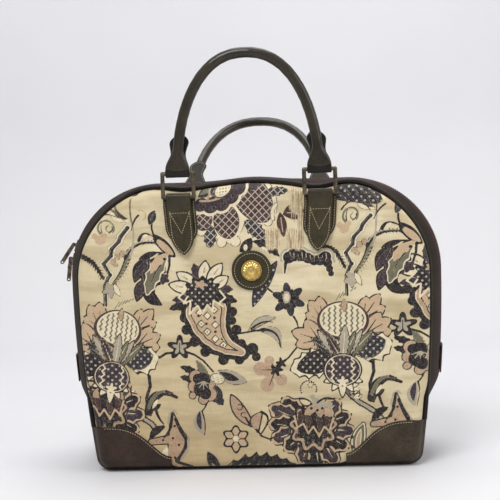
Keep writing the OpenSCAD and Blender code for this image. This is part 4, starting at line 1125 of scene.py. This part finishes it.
def patch_edge(t):
    """The bent upper edge of a patch, from the side at 0 to the floor at 1."""
    return np.stack([patch_top[0] + (patch_foot[0] - patch_top[0]) * t,
                     patch_top[1] + (patch_foot[1] - patch_top[1]) * (1 - np.cos(math.pi * t ** OGEE)) / 2], -1)


def on_roll(s, angle, lift):
    x, z = rim(s, -(ROLL_W - (ROLL_REACH + lift) * math.cos(angle)))
    return np.stack([x, -SEAM_Y - (ROLL_H + lift) * math.sin(angle) + 0 * x, z], -1)


def patch_lines(lift):
    """Points across the patch for every station, at a height over the cloth and the gusset."""
    t = np.linspace(0, 1, len(patch_s))
    edge = patch_edge(t)
    shoulder = on_roll(patch_s, math.radians(82), lift)
    rows = []
    for k in np.linspace(0, 1, 9)[:-1]:
        x, z = edge[:, 0] * (1 - k) + shoulder[:, 0] * k, edge[:, 1] * (1 - k) + shoulder[:, 2] * k
        soft = lift * (0.35 + 0.65 * min(1.0, k * 5)) if lift > 1 else lift
        rows.append(np.stack([x, -SEAM_Y - stand_out(inset(x, z)) - soft, z], -1))
    rows += [on_roll(patch_s, math.radians(a), lift) for a in (82, 72, 62, 52, 42, 32, 22, 12)]
    x, z = rim(patch_s, 0.5 + lift)
    fall = np.clip(np.gradient(z, patch_s) * -1, 0, 1)
    for k in (0.0, 0.3, 0.65, 1.0):
        rows.append(np.stack([x, -SEAM_Y + (3.2 + FLAP * fall) * k, z], -1))
    return np.stack(rows, 1)


def patch_piece(name, node, sx, sy, material):
    outer, inner = patch_lines(SEWN + PATCH_T), patch_lines(SEWN)
    rings = np.concatenate([outer, inner[:, ::-1]], 1) * np.array([sx, sy, 1.0])
    return tube(name, rings, material, nodes_replaced=[node], slot="trim_leather", sharp=0.9)


for sy, fb in FACES:
    for sx, lr in SIDES:
        patch_piece(f"corner_{fb}_{lr}_leather", f"corner_patch_{fb}_{lr}", sx, sy,
                    patch_leather if sx > 0 else corner_leather)
print("corner patches made")

# %% [markdown]
# ## Straps
# A strap is a path with a width and a thickness: the tab's strap comes up from its pointed tip, goes round the
# ring's bar and down again behind. The same function makes the backing and the turned ends of the handles.

# %% Strap maker
def strap(path, inner, half, edge=0.9, columns=11):
    """Points and faces of a folded strip, from its outer path, inner path and half widths (y, z and x in mm)."""
    path, inner, half = (np.asarray(v, float) for v in (path, inner, half))
    u = np.sin(np.linspace(-1, 1, columns) * math.pi / 2)
    x = half[:, None] * u[None, :]
    near = np.clip((np.abs(x) - (half[:, None] - edge)) / edge, 0, 1) * (half[:, None] > edge)
    drop = (1 - np.sqrt(1 - near ** 2 * 0.98)) * 0.5
    top = path[:, None, :] * (1 - drop[..., None]) + inner[:, None, :] * drop[..., None]
    low = inner[:, None, :] * (1 - 0.3 * drop[..., None]) + path[:, None, :] * 0.3 * drop[..., None]
    points = np.concatenate([np.concatenate([x[..., None], top], -1),
                             np.concatenate([x[..., None], low], -1)[:, ::-1]], 1)
    return points.reshape(-1, 3), tube_faces(len(path), 2 * columns)


TAB_X, RING_Z, SEAT_TILT = 85.0, 336.0, math.atan(SLOPE)
SEAT_Y = -SEAM_Y - (ROLL_H + SLOPE * (TOP_Z - RING_Z - ROLL_W))
BAR_OUT, LOOP_R, BORE_R = 7.2, 4.8, 2.8
STRAP_W, STRAP_LEN, STRAP_TIP, STRAP_BEND, TAB_LEAN = 29.0, 70.0, 26.0, -17.0, 0.085
BACKING_W, BACKING_LEN, BACKING_TIP, TIP_HALF = 39.0, 58.0, 22.0, 0.25


def on_seat(points, x, side):
    """From the tab's own frame, minus y outward and z up the slope, to the bag's. The tabs lean in a little."""
    p = np.asarray(points, float)
    x = x + np.sign(x) * TAB_LEAN * np.minimum(p[:, 2] + 12.0, 0)
    c, s = math.cos(SEAT_TILT), math.sin(SEAT_TILT)
    made = np.stack([p[:, 0] + x, SEAT_Y + p[:, 1] * c + p[:, 2] * s, RING_Z - p[:, 1] * s + p[:, 2] * c], -1)
    return mirrored(made, side)


def tongue_half(v, width, length, tip):
    """Half width of a tongue whose lower end is a pointed arch, at a height v below 0."""
    arch_r = (tip * tip + width * width / 4) / width
    q = np.clip(-(v - (tip - length)), 0, tip)
    return np.sqrt(np.maximum(arch_r ** 2 - q ** 2, 0)) - (arch_r - width / 2)


def half_turn(r):
    """Half a turn round a ring's bar, from its outer side over the top."""
    a = np.linspace(0, math.pi, 17)
    return np.stack([-r * np.cos(a), r * np.sin(a)], -1)


def tab_strap_points():
    tip = STRAP_TIP - STRAP_LEN - STRAP_TIP * np.cos(np.linspace(0, math.pi / 2, 12))
    up = np.concatenate([tip, np.linspace(STRAP_TIP - STRAP_LEN, STRAP_BEND, 14)[1:],
                         np.linspace(STRAP_BEND, 0, 8)[1:-1]])
    lift = step(STRAP_BEND, 0.0, up)
    front_y, inner_y = -(6.4 + 5.6 * lift), -(4.4 + 5.6 * lift)
    loop, bore = (half_turn(r) - [BAR_OUT, 0] for r in (LOOP_R, BORE_R))
    down = up[::-1]
    path = np.concatenate([np.stack([front_y, up], -1), loop, np.stack([0 * down - 2.4, down], -1)])
    inner = np.concatenate([np.stack([inner_y, up], -1), bore, np.stack([0 * down - 4.38, down], -1)])
    half = tongue_half(path[:, 1], STRAP_W, STRAP_LEN, STRAP_TIP)
    return strap(path, inner, np.maximum(half, TIP_HALF))


def backing_points():
    v = np.concatenate([-BACKING_LEN + BACKING_TIP * (1 - np.cos(np.linspace(0, math.pi / 2, 12))),
                        np.linspace(BACKING_TIP - BACKING_LEN, 0, 12)[1:]])
    half = np.maximum(tongue_half(v, BACKING_W, BACKING_LEN, BACKING_TIP), TIP_HALF)
    return strap(np.stack([0 * v - 2.2, v], -1), np.stack([0 * v - 0.25, v], -1), half)


for sy, fb in FACES:
    for sx, lr in SIDES:
        for part, (points, faces), material in (("strap", tab_strap_points(), olive_leather),
                                                ("backing", backing_points(), trim_leather)):
            face_out(piece(f"tab_{fb}_{lr}_{part}", on_seat(points, sx * TAB_X, sy), faces, material,
                           nodes_replaced=[f"tab_{part}_{fb}_{lr}"], slot="trim_leather"))
print("tabs made")

# %% [markdown]
# ## Rolled handles
# A handle is leather rolled round a cord: a tall half oval that opens out flat at its ends, goes round the ring's
# upper bar and is turned back as a sewn leaf. The seam of the roll runs along the side that faces the bag.

# %% Handles
HANDLE_H, SQUARE, HANDLE_R, FLARE, END_HALF, FLAT_R = 141.0, 0.44, 6.4, 25.0, 14.5, LOOP_R * 0.62
BAR_Y, BAR_Z, RING_H = -90.0316, 336.847, 28.0
LEAF_LEN, LEAF_ROUND = 47.0, 37.25
LEAF_LEAN = math.tan(math.asin((HANDLE_R + 2.0 - LOOP_R) / LEAF_LEN))


def leg_x(z):
    """Half the handle's width at a height above the rings: an oval with squarer shoulders."""
    return TAB_X * (1 - (np.clip(z, 0, HANDLE_H) / HANDLE_H) ** 2) ** SQUARE


def handle_points(stations=150, sides=28):
    a = np.linspace(math.asin(3.0 / HANDLE_H), math.pi - math.asin(3.0 / HANDLE_H), stations)[:, None]
    mid_z = HANDLE_H * np.sin(a)
    mid_x = np.sign(np.cos(a)) * leg_x(mid_z)
    run_x, run_z = np.gradient(mid_x, axis=0), np.gradient(mid_z, axis=0)
    long = np.hypot(run_x, run_z)
    side_x, side_z = run_z / long, -run_x / long
    flat = 1 - step(0.0, 1.0, (mid_z - LOOP_R) / FLARE)
    b = np.arange(sides)[None, :] * 2 * math.pi / sides
    run = np.cumsum(np.concatenate([[[0]], np.hypot(np.diff(mid_x, axis=0), np.diff(mid_z, axis=0))]), axis=0)
    creased = 0.16 * np.sin(run / 3.1 + 2 * np.sin(b)) * np.sin(run / 17.0) + 0.12 * np.sin(run / 1.9 + b * 2)
    off = np.abs(b - math.pi / 2)
    seam = -0.55 * bell(off, 0.0, 0.10) + 0.35 * bell(off, 0.3, 0.16)
    swell = 1 + (creased * 0.6 + seam) * (1 - flat) / HANDLE_R
    wide = (HANDLE_R + (END_HALF - HANDLE_R) * flat) * swell
    thick = (HANDLE_R + (FLAT_R - HANDLE_R) * flat) * swell
    u, v = wide * np.cos(b), thick * np.sin(b)
    return np.stack([mid_x + u * side_x, v - (LOOP_R - FLAT_R) * flat, mid_z + u * side_z], -1)


def leaf_half(v):
    """Half width of a handle's turned end: wide at the ring, a waist, and a round leaf."""
    return 9.0 + (END_HALF - 9.0) * (1 - step(2.0, 24.0, v)) + 2.6 * bell(v, 37.0, 8.0)


def handle_end_points():
    """The fold round the ring's bar and the leaf that is turned back."""
    loop, bore = (half_turn(r) * [1, -1] for r in (LOOP_R, BORE_R))
    v = np.concatenate([np.linspace(2, LEAF_ROUND, 22),
                        LEAF_ROUND + (LEAF_LEN - LEAF_ROUND) * np.sin(np.linspace(0, math.pi / 2, 12))[1:]])
    path = np.concatenate([[[-4.5, 4.0]], loop, np.stack([LOOP_R + v * LEAF_LEAN, v], -1)])
    inner = np.concatenate([[[-2.9, 4.0]], bore, np.stack([BORE_R + v * LEAF_LEAN, v], -1)])
    tip = np.sqrt(np.maximum(1 - (np.maximum(v - 36.0, 0) / 11.0) ** 2, 0.0004))
    half = np.concatenate([np.full(len(path) - len(v), END_HALF), leaf_half(v) * tip])
    points, faces = strap(path, inner, half)
    return points - (TAB_X - leg_x(points[:, 2]))[:, None] * [1, 0, 0], faces


def hang(points, ring_lean, lean, side):
    """From a handle's own frame to the bag's."""
    p = np.asarray(points, float)
    (c, s), (ring_c, ring_s) = cos_sin(lean), cos_sin(ring_lean)
    y = BAR_Y - RING_H * ring_s + p[..., 1] * c - p[..., 2] * s
    z = BAR_Z + RING_H * ring_c + p[..., 1] * s + p[..., 2] * c
    return mirrored(np.stack([p[..., 0], y, z], -1), side)


HANDLES = {"front": (0.0, 0.0, 1), "back": (76.0, 50.0, -1)}
for word, (ring_lean, lean, side) in HANDLES.items():
    tube(f"{word}_handle_roll", hang(handle_points(), ring_lean, lean, side), handle_leather, body=f"{word}_handle",
         nodes_replaced=[f"{word}_handle"], slot="handle_leather", sharp=None)
    for sx, lr in SIDES:
        points, faces = handle_end_points()
        points = (points + [TAB_X, 0, 0]) * [sx, 1, 1]
        face_out(piece(f"{word}_handle_{lr}_end", hang(points, ring_lean, lean, side), faces, dark_leather,
                       body=f"{word}_handle", slot="handle_leather"))
print("handles made")

# %% [markdown]
# ## Medallion
# A sewn leather disc carries a domed brass button. The button's face is a plain design of its own: a rim, a ring
# of flutes and a smooth boss. Both are surfaces of revolution, with the flutes added by angle.

# %% Medallion
MEDALLION_Y, MEDALLION_STITCH_R = -SEAM_Y - SWELL, 20.5


def turned(name, radii, heights, material, flutes=None, count=96, **more):
    """A surface of revolution that faces the front, closed at its middle."""
    a = np.arange(count) * 2 * math.pi / count
    r, h = np.asarray(radii, float)[:, None], np.asarray(heights, float)[:, None]
    h = h + (flutes(r, a[None, :]) if flutes else 0 * a[None, :])
    points = np.stack([r * np.cos(a), MEDALLION_Y - h, MEDALLION_Z + r * np.sin(a)], -1).reshape(-1, 3)
    points = np.concatenate([points, [[0, points[-1, 1], MEDALLION_Z], [0, points[0, 1], MEDALLION_Z]]])
    last, middle = (len(radii) - 1) * count, len(radii) * count
    faces = grid_faces(len(radii), count, ring=True)
    faces += [[last + i, last + (i + 1) % count, middle] for i in range(count)]
    faces += [[(i + 1) % count, i, middle + 1] for i in range(count)]
    return face_out(piece(name, points, faces, material, **more))


disc_r = np.array([23.6, 24.0, 23.9, 23.5, 22.8, 21.5, 20.5, 19.5, 17.0, 14.0, 12.6])
disc_h = np.array([0.2, 0.7, 1.5, 2.1, 2.45, 2.5, 2.3, 2.5, 2.6, 2.6, 2.6])
turned("medallion_disc", disc_r, disc_h, olive_leather, nodes_replaced=["medallion_patch"], slot="trim_leather")
rim_r, rim_h = [12.3, 12.5, 12.4, 12.0, 11.4, 11.0], [2.7, 3.2, 3.9, 4.3, 4.2, 3.5]
dome_r = np.linspace(10.7, 0.4, 36)
ring_h, boss_h = 0.45 * bell(dome_r, 6.3, 0.5), 0.5 * np.exp(-(dome_r / 2.4) ** 4)
dome_h = 2.9 + 3.4 * (1 - (dome_r / 14.0) ** 2) + ring_h + boss_h
turned("brass_button", np.concatenate([rim_r, dome_r]), np.concatenate([rim_h, dome_h]), button_brass, count=144,
       flutes=lambda r, a: 0.32 * np.cos(18 * a) * np.exp(-((r - 8.6) / 1.4) ** 4),
       nodes_replaced=["medallion_button"], slot="button_brass")
print("medallion made")

# %% [markdown]
# ## Stitches
# Pale thread holds the leather. A row of stitches follows a line, so one tree of Geometry Nodes does all rows: it
# spaces points along the line, puts a small bead of thread on each, turned along the line, and makes it real.

# %% Stitch tree
def link_all(tree, *links):
    """Links given as node, output, node and input."""
    for a, out, b, into in links:
        tree.links.new(a.outputs[out], b.inputs[into])


def line_tree(name, **inputs):
    """A tree that makes curves of lines, and at its end makes what it is given real, with a finish."""
    tree = bpy.data.node_groups.new(name, "GeometryNodeTree")
    ids = {}
    for title, kind in {"Lines": "Geometry", **inputs, "Finish": "Material"}.items():
        ids[title] = tree.interface.new_socket(title, in_out="INPUT", socket_type=f"NodeSocket{kind}").identifier
    tree.interface.new_socket("Rows", in_out="OUTPUT", socket_type="NodeSocketGeometry")
    given, lines, real, finish, result = (tree.nodes.new(kind) for kind in (
        "NodeGroupInput", "GeometryNodeMeshToCurve", "GeometryNodeRealizeInstances", "GeometryNodeSetMaterial",
        "NodeGroupOutput"))
    link_all(tree, (given, "Lines", lines, "Mesh"), (real, "Geometry", finish, "Geometry"),
             (given, "Finish", finish, "Material"), (finish, "Geometry", result, "Rows"))
    return tree, ids, given, lines, real


def row_tree(name, bead):
    """A tree that sets beads along lines, with the bead's mesh node given by its type."""
    tree, ids, given, lines, real = line_tree(name, Pitch="Float", Size="Vector")
    spaced, along, turn, shape, placed = (tree.nodes.new(kind) for kind in (
        "GeometryNodeResampleCurve", "GeometryNodeInputTangent", "FunctionNodeAlignRotationToVector", bead,
        "GeometryNodeInstanceOnPoints"))
    spaced.mode = "LENGTH"
    turn.axis, turn.pivot_axis = "X", "AUTO"
    link_all(tree, (lines, "Curve", spaced, "Curve"), (given, "Pitch", spaced, "Length"),
             (along, "Tangent", turn, "Vector"), (spaced, "Curve", placed, "Points"),
             (shape, "Mesh", placed, "Instance"), (turn, "Rotation", placed, "Rotation"),
             (given, "Size", placed, "Scale"), (placed, "Instances", real, "Geometry"))
    return tree, ids, shape, turn


stitch_rows, stitch_ids, bead, _ = row_tree("stitch rows", "GeometryNodeMeshUVSphere")
bead.inputs["Segments"].default_value, bead.inputs["Rings"].default_value = 8, 5
bead.inputs["Radius"].default_value = 0.5


def beads(pitch, size, material):
    """Inputs of a tree of beads, from a pitch and a size in mm."""
    return {"Pitch": pitch * MM, "Size": [v * MM for v in size], "Finish": material}


def lay_rows(name, lines, tree, ids, inputs, body="bag", nodes_replaced=()):
    """Runs a tree of lines, whose points are in mm, and makes the result a plain mesh."""
    points = np.concatenate([np.asarray(l, float) for l in lines]) * MM
    ends = np.cumsum([0] + [len(l) for l in lines])
    edges = [(i, i + 1) for a, b in zip(ends[:-1], ends[1:]) for i in range(a, b - 1)]
    mesh = bpy.data.meshes.new(name)
    mesh.from_pydata(points.tolist(), edges, [])
    made = add(name, mesh)
    modifier = made.modifiers.new("rows", "NODES")
    modifier.node_group = tree
    for title, value in inputs.items():
        modifier[ids[title]] = value
    made.data = bpy.data.meshes.new_from_object(made.evaluated_get(bpy.context.evaluated_depsgraph_get()))
    made.modifiers.clear()
    made.data.shade_smooth()
    settle(made, body, nodes_replaced)
    print(name, len(made.data.polygons), "faces")
    return made


# %% Stitch lines on the tabs
def tongue_line(width, length, tip, gap, top, y):
    """The stitch line inside a tongue's edge, down one side and up the other."""
    v = np.concatenate([np.linspace(top, tip - length, 12),
                        tip - length - tip * np.sin(np.linspace(0, math.pi / 2, 14))[1:]])
    half = tongue_half(v, width, length, tip) - gap
    keep = half > 0.3
    v, half = v[keep], half[keep]
    left = np.stack([-half, 0 * v + y, v], -1)
    right = np.stack([half, 0 * v + y, v], -1)[::-1]
    return np.concatenate([left, right])


STRAP_FACE, BACKING_FACE = -6.55, -2.35
tab_lines = [
    tongue_line(STRAP_W, STRAP_LEN, STRAP_TIP, 2.6, -18.0, STRAP_FACE),
    tongue_line(BACKING_W, BACKING_LEN, BACKING_TIP, 2.2, -6.0, BACKING_FACE),
    np.array([[-11.0, STRAP_FACE, -19.5], [11.0, STRAP_FACE, -19.5]]),
    np.array([[-11.0, STRAP_FACE, -21.0], [0.0, STRAP_FACE, -44.0], [11.0, STRAP_FACE, -21.0]])]
lines = [on_seat(l, sx * TAB_X, sy) for l in tab_lines for sx in (-1, 1) for sy in (1, -1)]
a = np.linspace(0, 2 * math.pi, 90)
lines.append(np.stack([MEDALLION_STITCH_R * np.cos(a), 0 * a + MEDALLION_Y - 2.4,
                       MEDALLION_Z + MEDALLION_STITCH_R * np.sin(a)], -1))
lay_rows("trim_stitches", lines, stitch_rows, stitch_ids, beads(3.0, (2.3, 0.8, 0.8), cream_thread))

# %% Stitch lines on the corner patches
t = np.linspace(0.02, 0.98, 70)
edge_line = patch_edge(t) + [[0.6, -2.2]]
y = -SEAM_Y - stand_out(inset(edge_line[:, 0], edge_line[:, 1])) - 2.1
lines = [np.stack([sx * edge_line[:, 0], sy * y, edge_line[:, 1]], -1) for sx in (-1, 1) for sy in (1, -1)]
lay_rows("corner_stitches", lines, stitch_rows, stitch_ids, beads(3.2, (2.4, 0.8, 0.8), cream_thread))

# %% Stitch lines on the handles
v = np.linspace(8.0, 30.0, 12)
leaf_line = np.stack([leaf_half(v) - 2.0, LOOP_R + v * LEAF_LEAN + 0.1, v], -1)
tip_a = np.linspace(0.15, math.pi - 0.15, 16)
tip_v = 35.0 + 8.5 * np.sin(tip_a)
tip_line = np.stack([9.2 * np.cos(tip_a), LOOP_R + tip_v * LEAF_LEAN + 0.1, tip_v], -1)
leaf_stitch = np.concatenate([leaf_line, tip_line, (leaf_line * [-1, 1, 1])[::-1]])
leaf_stitch[:, 0] += leg_x(leaf_stitch[:, 2])
for word, (ring_lean, lean, side) in HANDLES.items():
    rows = [hang(leaf_stitch * [sx, 1, 1], ring_lean, lean, side) for sx in (-1, 1)]
    lay_rows(f"{word}_handle_stitches", rows, stitch_rows, stitch_ids, beads(3.0, (2.2, 0.7, 0.7), cream_thread),
             body=f"{word}_handle")

# %% [markdown]
# ## Frayed threads
# Near the right tab the face yarns have worn away and the upright warp lies bare, with a few loose ends. A second
# tree sweeps a small round section along each thread.

# %% Frayed threads
def thread_tree():
    tree, ids, given, lines, real = line_tree("threads", Radius="Float")
    section, swept = (tree.nodes.new(f"GeometryNodeCurve{kind}") for kind in ("PrimitiveCircle", "ToMesh"))
    section.inputs["Resolution"].default_value = 6
    swept.inputs["Fill Caps"].default_value = True
    link_all(tree, (lines, "Curve", swept, "Curve"), (given, "Radius", section, "Radius"),
             (section, "Curve", swept, "Profile Curve"), (swept, "Mesh", real, "Geometry"))
    return tree, ids


threads, thread_ids = thread_tree()
chance = np.random.default_rng(7)
for shade, material in (("pale", frayed_thread), ("tan", tan_thread)):
    lines = []
    for u0, u1, v0, v1, count in ((289, 304, 187, 224, 18), (266, 280, 230, 250, 14), (287, 303, 228, 249, 14)):
        for u in chance.uniform(u0, u1, count):
            low, high = sorted(chance.uniform(v0, v1, 2))
            if high - low < 8:
                continue
            v = np.linspace(low, high, 12)
            x, z = place_of(u + 0.5 * np.sin(v / chance.uniform(4, 9) + chance.uniform(0, 6)) + 0 * v, v)
            lines.append(np.stack([x, -skin(x, z) - chance.uniform(0.15, 0.55), z + slump(x, z)], -1))
    lay_rows(f"frayed_{shade}_threads", lines, threads, thread_ids, {"Radius": 0.34 * MM, "Finish": material})

# %% [markdown]
# ## Zip teeth
# The closed zip is a row of small metal teeth that mesh in the middle. They follow the seam line as the stitches
# follow theirs, so the same tree does it with a small block as its bead, turned only about the bag's depth.

# %% Zip teeth
teeth_rows, teeth_ids, block, turn = row_tree("zip teeth rows", "GeometryNodeMeshCube")
turn.pivot_axis = "Y"
block.inputs["Size"].default_value = (1.0, 1.0, 1.0)
s = np.linspace(-ZIP_END, ZIP_END, 400)
x, z = rim(s, 0.05, 1.0)
lift = slump(x, z, 0.0)
rows = [np.stack([x, 0 * x + off, z + lift], -1) for off in (-0.75, 0.75)]
rows[1] = rows[1][6:]
lay_rows("zip_teeth", rows, teeth_rows, teeth_ids, beads(3.0, (1.6, 4.4, 1.7), zip_metal),
         nodes_replaced=["zip_chain"])

# %% [markdown]
# ## The pieces that stay as solids
# Rings, sliders, pulls, the base and its board are right as they come from the frame. They only get a finish.

# %% Finishes of the solids
for material, names in ((ring_metal, [f"ring_{fb}_{lr}" for _, fb in FACES for _, lr in SIDES]),
                        (zip_metal, ["slider_upper", "slider_lower", "pull_upper", "pull_lower"]),
                        (trim_leather, ["base_panel"]), (board, ["base_board"]), (button_brass, ["button_washer"])):
    for node in names:
        nodes[node].data.materials.clear()
        nodes[node].data.materials.append(material)

# %% [markdown]
# ## Studio
# A pale floor that bends up into a wall, a large lamp high in front and softer ones at the sides. The lamps are big
# so that shadows stay soft, and the level is plain, so that colours come out as they are written. The wall is clear
# when it is seen from behind, so the bag can be looked at from every side.

# %% Floor, wall and lamps
FLOOR_REACH, BEND_Y, BEND_R = 4000.0, 900.0, 500.0


def studio_floor():
    a = np.linspace(0, math.pi / 2, 16)
    bend = np.stack([BEND_Y + BEND_R * np.sin(a), BEND_R - BEND_R * np.cos(a)], -1)
    profile = np.concatenate([[[-FLOOR_REACH, 0.0]], bend, [[BEND_Y + BEND_R, FLOOR_REACH]]])
    points = np.concatenate([np.stack([0 * profile[:, 0] + x, profile[:, 0], profile[:, 1]], -1)
                             for x in (-FLOOR_REACH, FLOOR_REACH)])
    n = len(profile)
    faces = [[i, n + i, n + i + 1, i + 1] for i in range(n - 1)]
    mesh = bpy.data.meshes.new("floor")
    mesh.from_pydata((points * MM).tolist(), [], faces)
    mesh.shade_smooth()
    place, finish = new_material("floor paper")
    mesh.materials.append(finish(Base_Color=place.noise(3.0).mix(rgb(226, 226, 230), rgb(234, 234, 237)),
                                 Roughness=0.7))
    tree = mesh.materials[0].node_tree
    behind, clear, mix = (tree.nodes.new(f"ShaderNode{kind}")
                          for kind in ("NewGeometry", "BsdfTransparent", "MixShader"))
    link_all(tree, (behind, "Backfacing", mix, 0), (tree.nodes["Principled BSDF"], "BSDF", mix, 1),
             (clear, "BSDF", mix, 2), (mix, "Shader", tree.nodes["Material Output"], "Surface"))
    floor = add("floor", mesh)


def lamp(name, position, size, watts):
    """A round lamp that points at the bag."""
    light = bpy.data.lights.new(name, "AREA")
    light.shape, light.size, light.energy = "DISK", size, watts
    made = add(name, light)
    made.location = position
    made.rotation_euler = (Vector((0, 0, 0.2)) - Vector(position)).to_track_quat("-Z", "Y").to_euler()


studio_floor()
lamp("key lamp", (-0.5, -1.3, 1.9), 1.1, 26.0)
lamp("side lamp", (1.6, -0.7, 1.1), 1.2, 9.0)
lamp("top lamp", (0.1, 0.5, 2.2), 1.4, 16.0)
world = bpy.data.worlds.new("world")
bpy.context.scene.world = world
world.use_nodes = True
sky = world.node_tree.nodes["Background"].inputs
sky["Color"].default_value, sky["Strength"].default_value = (1.0, 0.985, 0.965, 1.0), 0.42
